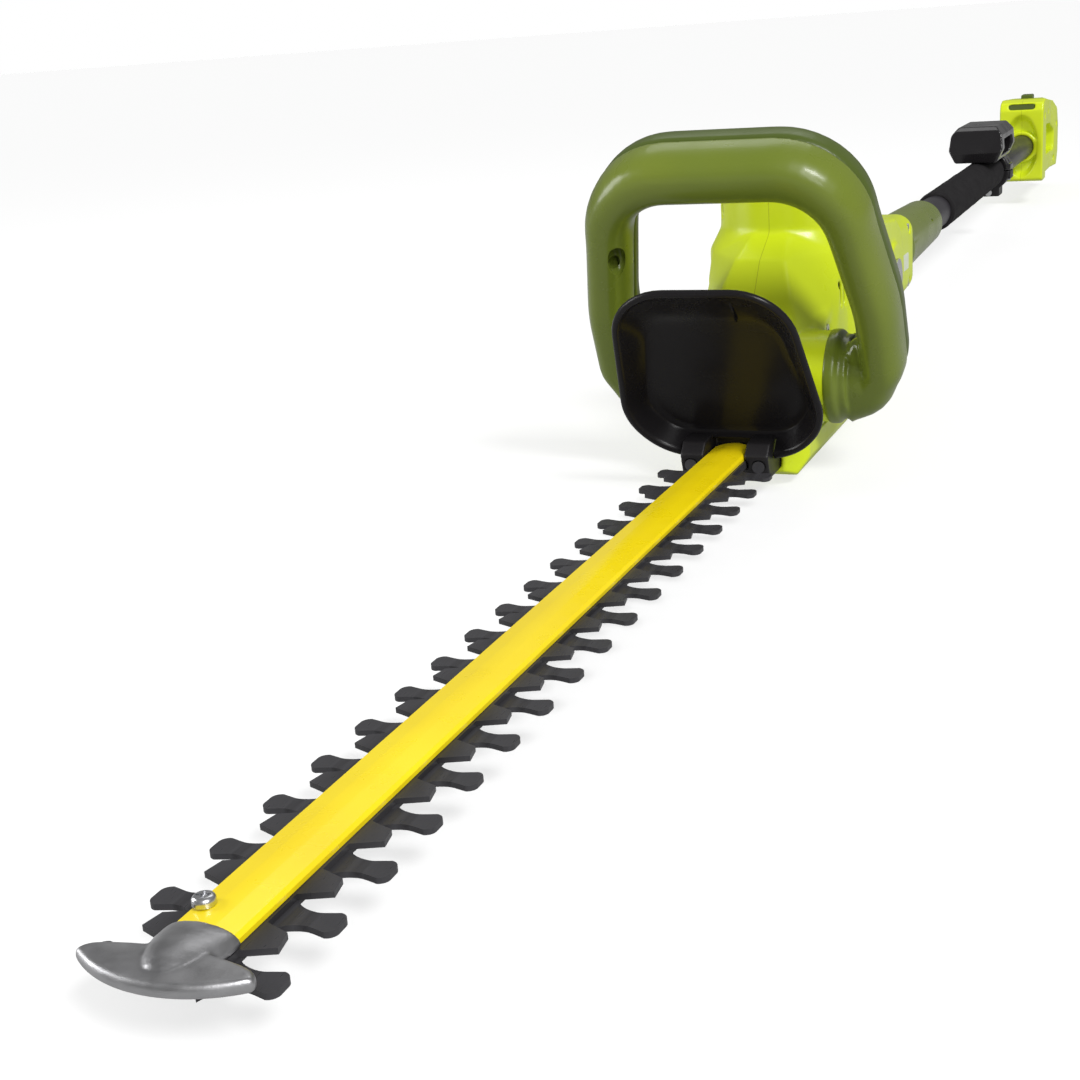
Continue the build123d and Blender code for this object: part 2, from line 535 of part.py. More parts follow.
def build_hinge():
    pin = cyl_x(-EAR_IN - 3.9, EAR_OUT + 1, PIVOT_Y, POLE_Z, PIN_R)
    pin += cyl_x(EAR_OUT + 2.05, EAR_OUT + 3.5, PIVOT_Y, POLE_Z, 13)
    pin += cyl_x(EAR_OUT, EAR_OUT + 2.05, PIVOT_Y, POLE_Z, PIN_R - 0.1)
    keep("pivot_pin", pin)
    button = cyl_x(-EAR_OUT - 6, -EAR_OUT + 2, PIVOT_Y, POLE_Z, 15.8)
    button = fillet(button.edges().group_by(Axis.X)[0], 2.4)
    button -= cyl_x(-EAR_OUT, -EAR_OUT + 3, PIVOT_Y, POLE_Z, 10)
    keep("lock_button", button)
    coil = cyl_x(-EAR_OUT, -EAR_IN - 4, PIVOT_Y, POLE_Z, 9) - cyl_x(-EAR_OUT - 4, -EAR_IN, PIVOT_Y, POLE_Z, 7)
    keep("lock_spring", coil)


def build_arm():
    knuckle = cyl_x(-EAR_IN + 0.5, EAR_IN - 0.5, PIVOT_Y, POLE_Z, KNUCKLE_R)
    neck = side_slab(outline([(PIVOT_Y, 16), (PIVOT_Y, 88), (ARM_WIDE_Y + 6, 85), (ARM_WIDE_Y + 6, 19)]),
                     -EAR_IN + 0.5, EAR_IN - 0.5)
    socket = side_slab(outline([(ARM_WIDE_Y, 18), (ARM_WIDE_Y, 86), (ARM_END_Y, 81), (ARM_END_Y, 23)]),
                       -ARM_HALF, ARM_HALF)
    socket = fillet([e for e in socket.edges() if abs(abs(e.center().X) - ARM_HALF) < 0.1
                     and abs(e.center().Z - POLE_Z) > 25], 13)
    socket = fillet(socket.faces().sort_by(Axis.Y)[-1].edges(), 3)
    arm = knuckle + neck + socket
    room = block(-EAR_IN + 3.5, EAR_IN - 3.5, PIVOT_Y + 14, ARM_WIDE_Y + 40, 26, 78)
    arm = arm - room - cyl_y(0, INNER_START_Y, ARM_END_Y + 5, POLE_Z, INNER_R)
    arm -= cyl_x(-60, 60, PIVOT_Y, POLE_Z, PIN_R + 0.05)
    arm += union(cyl_x(-EAR_IN + 2, EAR_IN - 2, y, z, 4.6) for y, z in ARM_SCREWS)
    for y, z in ARM_SCREWS[1:]:
        arm -= cyl_x(-14, 60, y, z, 1.95)
        arm -= cyl_x(ARM_HALF - 3.5, 60, y, z, 3.6)
    keep("arm_left", half(arm, -1))
    keep("arm_right", half(arm, 1))
    keep("arm_screws", screws_x(ARM_SCREWS[1:], ARM_HALF - 1.2, -13))


# ---------------------------------------------------------------- telescoping pole
def grooved(tube, r, y0, y1, count):
    """Shallow grooves along a tube."""
    grooves = [Rot(0, 360 / count * i, 0) * Pos(0, (y0 + y1) / 2, r) * Box(2.0, y1 - y0, 0.8)
               for i in range(count)]
    return tube - Pos(0, 0, POLE_Z) * union(grooves)


def build_pole():
    inner = tube_y(INNER_START_Y + 0.2, INNER_END_Y, POLE_Z, INNER_R, INNER_R - TUBE_WALL)
    keep("inner_tube", grooved(inner, INNER_R, INNER_START_Y + 1, INNER_END_Y, 6))
    keep("outer_tube", tube_y(OUTER_START_Y, TUBE_END_Y, POLE_Z, OUTER_R, OUTER_R - TUBE_WALL))
    collet = tube_y(COLLAR_Y0 + 10, OUTER_START_Y - 0.2, POLE_Z, 15.5, INNER_R + 0.3)
    collet += tube_y(OUTER_START_Y - 0.2, OUTER_START_Y + 40, POLE_Z, 17.0, OUTER_R)
    slits = union(Pos(0, COLLAR_Y0 + 10, POLE_Z) * Rot(0, 45 * i, 0) * Box(1.2, 22, 60) for i in range(4))
    keep("pole_collet", collet - slits)
    collar = loft([Plane.XZ.offset(-y) * (Pos(0, POLE_Z) * Circle(r))
                   for y, r in ((COLLAR_Y0, 21.0), (COLLAR_Y0 + 8, 23.0))], ruled=True)
    collar += loft([Plane.XZ.offset(-y) * (Pos(0, POLE_Z) * Circle(r))
                    for y, r in ((COLLAR_Y0 + 8, 23.0), (COLLAR_Y0 + 60, 21.6), (COLLAR_Y1, 19.4))],
                   ruled=True)
    collar -= cyl_y(0, COLLAR_Y0 - 1, COLLAR_Y1 + 1, POLE_Z, 14.6)
    collar -= cyl_y(0, COLLAR_Y0 + 6, OUTER_START_Y + 46, POLE_Z, 17.3)
    for i in range(14):
        collar -= Pos(0, 0, POLE_Z) * Rot(0, 360 / 14 * i, 0) * Pos(0, COLLAR_Y0 + 26, 25.2) * Box(3.2, 30, 6)
    keep("twist_collar", collar)
    foam = tube_y(FOAM_Y0, FOAM_Y1, POLE_Z, FOAM_R, OUTER_R)
    foam = chamfer(foam.edges().filter_by(GeomType.CIRCLE).filter_by(lambda e: e.radius > FOAM_R - 0.1), 1.8)
    keep("foam_grip", foam)


# ---------------------------------------------------------------- assist grip
def build_assist_grip():
    """A bow-shaped front grip whose clamp swivels on the pole."""
    shape = outline([(GRIP_Y0 + 3, GRIP_Z0), (GRIP_Y0, GRIP_Z0 + 10), (GRIP_Y0 + 8, GRIP_Z1 - 4),
                     (GRIP_Y0 + 14, GRIP_Z1), (GRIP_Y1 - 8, GRIP_Z1), (GRIP_Y1, GRIP_Z1 - 8),
                     (GRIP_Y1, GRIP_Z0)])
    grip = side_slab(shape, -GRIP_HALF, GRIP_HALF)
    section = outline([(-GRIP_HALF + 6, GRIP_Z0), (-GRIP_HALF, GRIP_Z0 + 13), (-GRIP_HALF + 1.5, GRIP_Z1 - 8),
                       (-GRIP_HALF + 8, GRIP_Z1), (GRIP_HALF - 8, GRIP_Z1), (GRIP_HALF - 1.5, GRIP_Z1 - 8),
                       (GRIP_HALF, GRIP_Z0 + 13), (GRIP_HALF - 6, GRIP_Z0)], 2.5)
    grip = grip & extrude(Plane.XZ.offset(-GRIP_Y0 + 5) * section, -200)
    grip -= side_slab(outline([(GRIP_Y0 + 18, 75.5), (GRIP_Y0 + 21, 92), (GRIP_Y1 - 15, 92),
                               (GRIP_Y1 - 12, 75.5)], 4), -60, 60)
    neck = side_slab(outline([(GRIP_Y1 - 11, 74), (GRIP_Y1 - 11, 101), (CLAMP_Y1 - 14, 96), (CLAMP_Y1, 80),
                              (CLAMP_Y1, POLE_Z + 0.4), (CLAMP_Y0, POLE_Z + 0.4), (CLAMP_Y0, 72)]), -15, 15)
    ring = cyl_y(0, CLAMP_Y0, CLAMP_Y1, POLE_Z, CLAMP_R)
    lugs = block(-22.4, 22.4, CLAMP_Y0 + 3, CLAMP_Y1 - 3, POLE_Z - 9, POLE_Z + 7)
    upper = (ring + lugs) & block(-60, 60, 1000, 1100, POLE_Z + 0.4, 120)
    lower = (ring + lugs) & block(-60, 60, 1000, 1100, -20, POLE_Z - 0.4)
    low_z = POLE_Z - CLAMP_R - 1.5
    flange = block(-11, 11, CLAMP_Y0 + 1, CLAMP_Y1 - 1, low_z - 4.5, low_z + 4.5)
    bore = cyl_y(0, 900, 1100, POLE_Z, OUTER_R + 0.06)
    clear = cyl_y(0, 900, FOAM_Y1 + 4, POLE_Z, FOAM_R + 0.8)
    mid_y = (CLAMP_Y0 + CLAMP_Y1) / 2
    holes = union(cyl_z(x, mid_y, 0, 90, 1.45) for x in (-18.4, 18.4))
    keep("assist_grip", grip + neck + upper - bore - clear - holes)
    pockets = union(cyl_z(x, mid_y, 20, POLE_Z - 9, 3.1) for x in (-18.4, 18.4))
    lower = lower + flange - bore - holes - pockets
    keep("grip_clamp", lower - cyl_y(0, CLAMP_Y0 - 1, CLAMP_Y0 + 16, low_z, 1.95))
    screws = [cyl_z(x, mid_y, POLE_Z - 11.4, POLE_Z - 9.01, 2.8)
              + cyl_z(x, mid_y, POLE_Z - 9.01, POLE_Z + 6.5, 1.4) for x in (-18.4, 18.4)]
    stop = cyl_y(0, CLAMP_Y0 - 2.4, CLAMP_Y0 - 0.05, low_z, 3.6)
    stop += cyl_y(0, CLAMP_Y0 - 0.05, CLAMP_Y0 + 15, low_z, 1.9)
    keep("clamp_screws", Compound([*screws, stop]))


# ---------------------------------------------------------------- rear handle
HANDLE_SCREWS = [(1356, 88), (1380, 22), (1480, 85), (1530, 21), (1546, 65)]


def build_handle():
    side = outline([(HANDLE_Y0, HANDLE_Z0 + 3), (HANDLE_Y0, 96), (HANDLE_Y0 + 5, HANDLE_Z1 - 3),
                    (1352, HANDLE_Z1), (1400, HANDLE_Z1 - 1), (1520, 96), (1552, 84), (HANDLE_Y1, 62),
                    (HANDLE_Y1, 26), (1552, HANDLE_Z0), (1340, HANDLE_Z0)])
    body = side_slab(side, -HANDLE_HALF, HANDLE_HALF)
    plan = outline([(-HANDLE_HALF, HANDLE_Y0), (-HANDLE_HALF, 1368), (-17.5, 1406), (-17.5, 1506),
                    (-21, 1546), (-21, HANDLE_Y1), (21, HANDLE_Y1), (21, 1546), (17.5, 1506),
                    (17.5, 1406), (HANDLE_HALF, 1368), (HANDLE_HALF, HANDLE_Y0)])
    body = body & slab(plan, -20, 200)
    gap = outline([(1398, 32), (1394, 72), (1500, 68), (1528, 58), (1528, 32)], 8)
    body -= side_slab(gap, -60, 60)
    body = round_off(body, 5.0)
    shape = body
    dish = Plane.XZ.offset(-HANDLE_Y0) * (Pos(0, POLE_Z + 1) * Ellipse(20, 38))
    floor = Plane.XZ.offset(-HANDLE_Y0 - 8) * (Pos(0, POLE_Z + 1) * Ellipse(16, 31))
    body -= loft([dish, floor])
    body += cyl_y(0, HANDLE_Y0 + 1, HANDLE_Y0 + 14, POLE_Z, 19)
    front_room = block(-22, 22, HANDLE_Y0 + 14, 1378, 16, 98)
    grip_room = block(-13.5, 13.5, 1376, 1536, 76, 92)
    low_room = block(-13.5, 13.5, 1376, 1536, 14, 27)
    rear_room = block(-16, 16, 1534, 1556, 20, 74)
    body = body - front_room - grip_room - low_room - rear_room
    body += cyl_y(0, HANDLE_Y0 + 13, 1378, POLE_Z, 17.5)
    body -= cyl_y(0, 1300, TUBE_END_Y + 0.2, POLE_Z, OUTER_R)
    body += union(cyl_x(-HANDLE_HALF, HANDLE_HALF, y, z, 4.6) for y, z in HANDLE_SCREWS) & shape
    for y, z in HANDLE_SCREWS:
        body -= cyl_x(-14, 60, y, z, 1.95)
        body -= cyl_x(14.2, 60, y, z, 3.6)
    body -= block(-6.6, 6.6, TRIGGER_Y - 8, TRIGGER_Y + 46, 60, 80)
    body -= block(-7.3, 7.3, TRIGGER_Y - 26, TRIGGER_Y - 10, 84, 140)
    body -= block(-15, 15, HANDLE_Y0 - 1, HANDLE_Y0 + 12, 97, 103)
    body -= cyl_y(0, 1550, HANDLE_Y1 + 5, 46, 15)
    keep("handle_left", half(body, -1))
    keep("handle_right", half(body, 1))
    keep("handle_screws", screws_x(HANDLE_SCREWS, 16.6, -13))


def round_off(solid, radius):
    """Rounds the long side edges of the handle, by the largest radius that fits."""
    edges = [e for e in solid.edges() if abs(e.tangent_at(0.5).X) < 0.2 and abs(e.center().X) > 12]
    for r in (radius, radius / 2, radius / 4):
        try:
            return fillet(edges, r)
        except ValueError:
            continue
    return solid


def build_controls():
    keep("handle_trim", block(-14.8, 14.8, HANDLE_Y0 + 2, HANDLE_Y0 + 11.8, 97.1, 102.9))
    lever = outline([(TRIGGER_Y - 4, TRIGGER_Z - 4), (TRIGGER_Y + 4, TRIGGER_Z + 0), (TRIGGER_Y + 42, 76),
                     (TRIGGER_Y + 42, 70), (TRIGGER_Y + 32, 62), (TRIGGER_Y + 8, 61), (TRIGGER_Y - 4, 66)])
    keep("trigger", side_slab(lever, -6.2, 6.2) - cyl_x(-9, 9, TRIGGER_Y, TRIGGER_Z - 4, 2.05))
    keep("trigger_pin", cyl_x(-13, 13, TRIGGER_Y, TRIGGER_Z - 4, 2.0))
    keep("switch_body", block(-8, 8, TRIGGER_Y + 12, TRIGGER_Y + 44, 82.2, 91.5))
    coil = cyl_z(0, TRIGGER_Y + 36, 77.8, 82.0, 3.6) - cyl_z(0, TRIGGER_Y + 36, 60, 90, 2.8)
    keep("trigger_spring", coil)
    button = block(-7, 7, TRIGGER_Y - 25.7, TRIGGER_Y - 10.3, 94, 112)
    keep("lock_off_button", fillet(button.edges().group_by(Axis.Z)[-1], 2))
    keep("lock_off_spring", cyl_z(0, TRIGGER_Y - 18, 85, 93.8, 4) - cyl_z(0, TRIGGER_Y - 18, 80, 99, 3.2))


def build_inlet():
    """The mains inlet in the rear end: a shrouded socket with two flat blades."""
    cup = cyl_y(0, 1550.2, HANDLE_Y1 - 1, 46, 14.8) - cyl_y(0, 1553, HANDLE_Y1 + 5, 46, 12.6)
    blades = [block(x - 0.75, x + 0.75, 1553, HANDLE_Y1 - 3, 42.8, 49.2) for x in (-6.35, 6.35)]
    keep("inlet_body", cup)
    keep("inlet_blades", Compound(blades))


BUILDERS = [build_blades, build_bar, build_bar_cover, build_tip_guard, build_shield, build_loop,
            build_housing, build_base, build_gearbox, build_motor, build_hinge, build_arm, build_pole,
            build_assist_grip, build_handle, build_controls, build_inlet]

os.makedirs("parts", exist_ok=True)
for build in BUILDERS:
    build()
for name, shape in parts.items():
    export_step(shape, f"parts/{name}.step")
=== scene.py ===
import json
import math

import bmesh
import bpy
from mathutils import Matrix, Vector, noise


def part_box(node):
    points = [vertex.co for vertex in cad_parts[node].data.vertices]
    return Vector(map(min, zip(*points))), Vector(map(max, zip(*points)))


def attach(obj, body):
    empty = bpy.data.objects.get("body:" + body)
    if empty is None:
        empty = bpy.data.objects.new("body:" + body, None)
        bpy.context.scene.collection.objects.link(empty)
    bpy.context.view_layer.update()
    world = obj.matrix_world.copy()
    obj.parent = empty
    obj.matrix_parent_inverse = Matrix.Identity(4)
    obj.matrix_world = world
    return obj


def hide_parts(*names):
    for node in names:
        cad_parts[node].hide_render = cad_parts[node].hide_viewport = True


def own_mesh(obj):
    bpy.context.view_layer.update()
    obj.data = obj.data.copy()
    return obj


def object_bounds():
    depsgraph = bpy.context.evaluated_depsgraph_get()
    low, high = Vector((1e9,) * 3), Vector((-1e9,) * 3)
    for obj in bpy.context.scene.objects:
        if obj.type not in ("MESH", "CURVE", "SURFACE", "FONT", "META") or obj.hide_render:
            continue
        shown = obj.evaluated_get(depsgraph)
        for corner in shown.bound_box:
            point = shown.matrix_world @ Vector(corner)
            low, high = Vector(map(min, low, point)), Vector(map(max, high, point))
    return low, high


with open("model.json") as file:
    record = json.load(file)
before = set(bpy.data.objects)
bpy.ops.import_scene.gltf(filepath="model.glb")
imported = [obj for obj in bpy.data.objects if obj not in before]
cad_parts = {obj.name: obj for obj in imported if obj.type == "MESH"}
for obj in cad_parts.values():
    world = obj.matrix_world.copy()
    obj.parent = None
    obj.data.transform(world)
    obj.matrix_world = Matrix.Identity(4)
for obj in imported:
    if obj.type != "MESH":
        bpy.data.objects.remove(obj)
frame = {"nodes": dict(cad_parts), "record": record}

CAD_BOX = [list(corner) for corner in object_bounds()]
NODES = frame["nodes"]

# Lengths below are in millimetres from the drawing's origin, which is the tooth nearest the hand shield, in
# the plane of the lower blade.  -Y runs to the blade's tip.  at() turns them into metres in the frame.
BASE_Z = -14.0
POLE_Z = 52.0
PITCH = 31.0
TEETH = 17
LAST_TOOTH = -(TEETH - 1) * PITCH
TIP_REACH = 19.5
DATUM_Y = CAD_BOX[0][1] * 1000 + TIP_REACH - LAST_TOOTH


def at(x, y, z):
    """A point of the drawing, as a vector in the frame."""
    return Vector((x / 1000, (y + DATUM_Y) / 1000, (z - BASE_Z) / 1000))


# ---------------------------------------------------------------- camera, floor and light
def linked(name, data):
    obj = bpy.data.objects.new(name, data)
    bpy.context.scene.collection.objects.link(obj)
    return obj


def add_camera():
    place = at(249.2, -809.1, 233.6)
    right = Vector((0.9228, 0.3790, -0.0693))
    up = Vector((-0.0522, 0.3012, 0.9521))
    back = right.cross(up).normalized()
    right = up.cross(back).normalized()
    turn = Matrix((right, up, back)).transposed().to_4x4()
    data = bpy.data.cameras.new("camera")
    data.lens = 54.56
    data.sensor_width = 36.0
    data.clip_start, data.clip_end = 0.02, 60.0
    camera = linked("camera", data)
    camera.matrix_world = Matrix.Translation(place) @ turn
    bpy.context.scene.camera = camera


def add_floor():
    """A white sheet, thin enough that what swings below it at a joint's limit still shows through."""
    size, height, grey = 60.0, -0.004, 0.98
    corners = ((-size, -size), (size, -size), (size, size), (-size, size))
    mesh = bpy.data.meshes.new("floor")
    mesh.from_pydata([(x, y, height) for x, y in corners], [], [(0, 1, 2, 3)])
    floor = linked("floor", mesh)
    material = bpy.data.materials.new("floor_sheet")
    material.use_nodes = True
    shader = material.node_tree.nodes["Principled BSDF"]
    shader.inputs["Base Color"].default_value = (grey, grey, grey, 1)
    shader.inputs["Roughness"].default_value = 0.95
    shader.inputs["Specular IOR Level"].default_value = 0.0
    shader.inputs["Alpha"].default_value = 0.30
    mesh.materials.append(material)


def add_area(name, place, target, size, power):
    """A soft box of two sides in metres, turned towards a target."""
    data = bpy.data.lights.new(name, "AREA")
    data.shape = "RECTANGLE"
    data.size, data.size_y = size
    data.energy = power
    light = linked(name, data)
    light.location = place
    light.rotation_euler = (target - place).to_track_quat("-Z", "Y").to_euler()


def add_sun(direction, strength, spread):
    """A sun that shines along a direction; its spread in degrees softens the shadows."""
    data = bpy.data.lights.new("sun", "SUN")
    data.energy = strength
    data.angle = math.radians(spread)
    linked("sun", data).rotation_euler = direction.to_track_quat("-Z", "Y").to_euler()


def add_world():
    """A white world: full strength where it is seen, less for its light, and least in reflections."""
    seen, light, reflected = 1.0, 0.36, 0.22
    world = bpy.data.worlds.new("studio")
    world.use_nodes = True
    tree = world.node_tree
    background = tree.nodes["Background"]
    background.inputs["Color"].default_value = (1, 1, 1, 1)
    path = tree.nodes.new("ShaderNodeLightPath")
    level = None
    for ray, value in (("Is Glossy Ray", reflected), ("Is Camera Ray", seen)):
        mix = tree.nodes.new("ShaderNodeMix")
        tree.links.new(path.outputs[ray], mix.inputs["Factor"])
        if level:
            tree.links.new(level, mix.inputs["A"])
        else:
            mix.inputs["A"].default_value = light
        mix.inputs["B"].default_value = value
        level = mix.outputs["Result"]
    tree.links.new(level, background.inputs["Strength"])
    bpy.context.scene.world = world


def add_lights():
    head, pole = at(0, 100, 60), at(0, 500, 50)
    add_sun(Vector((-0.62, 0.42, -0.74)), strength=2.35, spread=16)
    add_area("front_box", head + Vector((0.9, -1.3, 0.9)), head, size=(0.5, 0.9), power=10)
    add_area("side_box", head + Vector((-1.5, -0.6, 0.5)), head, size=(0.6, 1.0), power=15)
    add_area("top_box", pole + Vector((-0.3, 0.9, 1.8)), pole, size=(1.6, 0.6), power=6)
    add_world()
    bpy.context.scene.view_settings.view_transform = "Standard"


# ---------------------------------------------------------------- material tools
MIX_INPUT_A, MIX_INPUT_B, MIX_OUTPUT = 6, 7, 2  # a Mix node's colour sockets, which share names with others


class Shader:
    """A Principled material with short names for the nodes that give it its detail."""

    def __init__(self, name, roughness=0.5, metallic=0.0, specular=0.5, coat=0.0, coat_roughness=0.1):
        self.material = bpy.data.materials.new(name)
        self.material.use_nodes = True
        self.tree = self.material.node_tree
        self.base = self.tree.nodes["Principled BSDF"]
        self.base.inputs["Roughness"].default_value = roughness
        self.base.inputs["Metallic"].default_value = metallic
        self.base.inputs["Specular IOR Level"].default_value = specular
        self.base.inputs["Coat Weight"].default_value = coat
        self.base.inputs["Coat Roughness"].default_value = coat_roughness
        self.place = self.tree.nodes.new("ShaderNodeTexCoord").outputs["Object"]

    def link(self, a, b):
        self.tree.links.new(a, b)

    def stretched(self, scale):
        node = self.tree.nodes.new("ShaderNodeMapping")
        node.inputs["Scale"].default_value = scale
        self.link(self.place, node.inputs["Vector"])
        return node.outputs["Vector"]

    def noise(self, scale, detail, stretch=None):
        """A noise texture, longer or shorter along each axis where it is given a stretch."""
        node = self.tree.nodes.new("ShaderNodeTexNoise")
        node.inputs["Scale"].default_value = scale
        node.inputs["Detail"].default_value = detail
        node.inputs["Roughness"].default_value = 0.55
        self.link(self.stretched(stretch) if stretch else self.place, node.inputs["Vector"])
        return node.outputs["Fac"]

    def cells(self, scale):
        node = self.tree.nodes.new("ShaderNodeTexVoronoi")
        node.inputs["Scale"].default_value = scale
        self.link(self.place, node.inputs["Vector"])
        return node.outputs["Distance"]

    def mix(self, factor, a, b):
        """Colour a where the factor is 0, and b where it is 1."""
        node = self.tree.nodes.new("ShaderNodeMix")
        node.data_type = "RGBA"
        self.link(factor, node.inputs["Factor"])
        for index, value in ((MIX_INPUT_A, a), (MIX_INPUT_B, b)):
            if isinstance(value, tuple):
                node.inputs[index].default_value = (*value, 1)
            else:
                self.link(value, node.inputs[index])
        return node.outputs[MIX_OUTPUT]

    def remap(self, value, low, high, from_low=0.3, from_high=0.7):
        """Stretches a value to run from low to high; the usual source is a noise texture."""
        node = self.tree.nodes.new("ShaderNodeMapRange")
        node.inputs["From Min"].default_value = from_low
        node.inputs["From Max"].default_value = from_high
        node.inputs["To Min"].default_value = low
        node.inputs["To Max"].default_value = high
        self.link(value, node.inputs["Value"])
        return node.outputs["Result"]

    def edges(self, low, high):
        """How much a point lies on a sharp outer edge, for wear."""
        pointiness = self.tree.nodes.new("ShaderNodeNewGeometry").outputs["Pointiness"]
        return self.remap(pointiness, 0, 1, low, high)

    def seam_shade_mask(self, half_width):
        """1 on the tool's centre plane, where two half shells meet, and 0 elsewhere: where the seam's shade
        is painted as a dark line.
        """
        split = self.tree.nodes.new("ShaderNodeSeparateXYZ")
        self.link(self.place, split.inputs["Vector"])
        nodes = []
        for operation in ("ABSOLUTE", "LESS_THAN"):
            node = self.tree.nodes.new("ShaderNodeMath")
            node.operation = operation
            nodes.append(node)
        self.link(split.outputs["X"], nodes[0].inputs[0])
        self.link(nodes[0].outputs[0], nodes[1].inputs[0])
        nodes[1].inputs[1].default_value = half_width
        return nodes[1].outputs[0]

    def drift(self, scale, detail, a, b, stretch=None):
        """A tone that wanders between two colours."""
        return self.mix(self.remap(self.noise(scale, detail, stretch), 0, 1), a, b)

    def colour(self, value):
        self.link(value, self.base.inputs["Base Color"])

    def satin(self, scale, detail, low, high, stretch=None):
        """Roughness that wanders between two levels."""
        self.link(self.remap(self.noise(scale, detail, stretch), low, high), self.base.inputs["Roughness"])

    def bump(self, value, strength, distance):
        """Adds height to the surface, on top of any that it has."""
        node = self.tree.nodes.new("ShaderNodeBump")
        node.inputs["Strength"].default_value = strength
        node.inputs["Distance"].default_value = distance
        self.link(value, node.inputs["Height"])
        previous = self.base.inputs["Normal"].links
        if previous:
            self.link(previous[0].from_socket, node.inputs["Normal"])
        self.link(node.outputs["Normal"], self.base.inputs["Normal"])


def moulded(name, colour, deep, roughness, grain=0.12, coat=0.0, with_seam_shadow=False, specular=0.5, worn=True):
    """Injection-moulded plastic: a slight drift of tone, satin patches, scuffed edges, a fine grain and, if
    asked, painted seam shade.
    """
    s = Shader(name, roughness, coat=coat, specular=specular)
    tone = s.drift(9, 2, colour, deep)
    if worn:
        scuffed = tuple(min(1.0, c * 1.25 + 0.02) for c in colour)
        tone = s.mix(s.remap(s.edges(0.52, 0.60), 0, 0.35, 0, 1), tone, scuffed)
    # Painted shade: the halves meet flush, with no groove, so the seam's shadow is painted as a line at half
    # the tone.
    if with_seam_shadow:
        tone = s.mix(s.seam_shade_mask(half_width=0.00016), tone, tuple(c * 0.5 for c in colour))
    s.colour(tone)
    s.satin(38, 4, roughness - 0.06, roughness + 0.09)
    s.bump(s.noise(1500, 2), grain, 0.0003)
    return s.material


def steel(name, colour, light, roughness, stretch):
    """Ground or plated steel with fine scratches along one way."""
    s = Shader(name, roughness, metallic=1.0)
    s.colour(s.drift(60, 4, colour, light, stretch))
    s.satin(90, 4, roughness - 0.08, roughness + 0.14, stretch)
    s.bump(s.noise(500, 3, stretch), 0.12, 0.0002)
    return s.material


LIME = (0.60, 0.71, 0.013)
LIME_DEEP = (0.53, 0.64, 0.010)
OLIVE = (0.150, 0.190, 0.022)
OLIVE_DEEP = (0.115, 0.155, 0.017)
OLIVE_DARK = (0.075, 0.105, 0.018)
OLIVE_DARKER = (0.055, 0.08, 0.012)
BLACK = (0.009, 0.008, 0.009)
BLACK_DEEP = (0.012, 0.011, 0.012)


def build_materials():
    return {
        "lime_plastic": moulded("lime_plastic_moulded", LIME, LIME_DEEP, 0.32, coat=0.1, specular=0.32),
        # The shells' lime, with a line of painted shade along the centre seam.
        "lime_seam_shaded": moulded("lime_shell_moulded", LIME, LIME_DEEP, 0.32, coat=0.1, with_seam_shadow=True,
                              specular=0.32),
        "olive_plastic": moulded("olive_plastic_moulded", OLIVE, OLIVE_DEEP, 0.28, coat=0.15, specular=0.35),
        "olive_dark_plastic": moulded("olive_dark_moulded", OLIVE_DARK, OLIVE_DARKER, 0.34, specular=0.3),
        "black_gloss_plastic": moulded("black_gloss_moulded", BLACK, BLACK_DEEP, 0.20, grain=0.04, coat=0.1,
                                       specular=0.45),
        "shield_black": moulded("shield_black_moulded", BLACK, BLACK_DEEP, 0.24, grain=0.03, specular=0.17,
                                worn=False),
        "black_plastic": moulded("black_moulded", (0.014, 0.013, 0.014), BLACK, 0.40, grain=0.25,
                                 specular=0.3),
        "button_grey": moulded("grey_button_moulded", (0.40, 0.41, 0.39), (0.33, 0.34, 0.32), 0.35),
        "label": moulded("label_film", (0.62, 0.66, 0.52), (0.55, 0.60, 0.46), 0.4, grain=0.05),
        "nylon": moulded("nylon_moulded", (0.72, 0.70, 0.63), (0.62, 0.60, 0.53), 0.45),
        "carbon": moulded("carbon_pressed", (0.03, 0.03, 0.03), (0.05, 0.05, 0.05), 0.6, grain=0.3),
        "blade_steel": blade_steel(),
        "plain_steel": steel("zinc_steel", (0.55, 0.56, 0.58), (0.72, 0.72, 0.73), 0.28, (1, 1, 1)),
        "brass": steel("brass_drawn", (0.72, 0.52, 0.20), (0.80, 0.62, 0.30), 0.25, (1, 8, 1)),
        "copper_windings": steel("copper_wound", (0.60, 0.25, 0.10), (0.75, 0.36, 0.18), 0.35, (20, 20, 1)),
        "yellow_bar": yellow_paint(),
        "cast_aluminium": cast_aluminium(),
        "pole_paint": pole_paint(),
        "foam": foam(),
    }


def blade_steel():
    s = Shader("blade_black_oxide", 0.36, specular=0.2)
    tone = s.drift(45, 5, (0.008, 0.007, 0.008), (0.014, 0.013, 0.014))
    s.colour(s.mix(s.remap(s.edges(0.53, 0.62), 0, 0.3, 0, 1), tone, (0.12, 0.12, 0.13)))
    s.satin(140, 4, 0.26, 0.42, stretch=(12, 1, 1))
    s.bump(s.noise(420, 3, (1, 7, 1)), 0.10, 0.0002)
    return s.material


def yellow_paint():
    s = Shader("yellow_powder_coat", 0.30, coat=0.25, coat_roughness=0.15)
    s.colour(s.drift(14, 3, (0.86, 0.68, 0.003), (0.80, 0.60, 0.003)))
    s.satin(60, 4, 0.24, 0.38)
    s.bump(s.noise(700, 2), 0.10, 0.0003)
    return s.material


def cast_aluminium():
    s = Shader("cast_aluminium_tumbled", 0.42, metallic=1.0)
    s.colour(s.drift(55, 5, (0.36, 0.36, 0.37), (0.52, 0.52, 0.53)))
    s.satin(120, 4, 0.32, 0.52)
    s.bump(s.noise(900, 4), 0.22, 0.0003)
    s.bump(s.noise(140, 3), 0.10, 0.0008)
    return s.material


def pole_paint():
    s = Shader("pole_powder_coat", 0.34, specular=0.35)
    s.colour(s.drift(30, 3, (0.018, 0.016, 0.020), (0.026, 0.024, 0.029)))
    s.satin(60, 4, 0.28, 0.44, stretch=(1, 0.1, 1))
    s.bump(s.noise(1300, 2), 0.12, 0.0003)
    return s.material


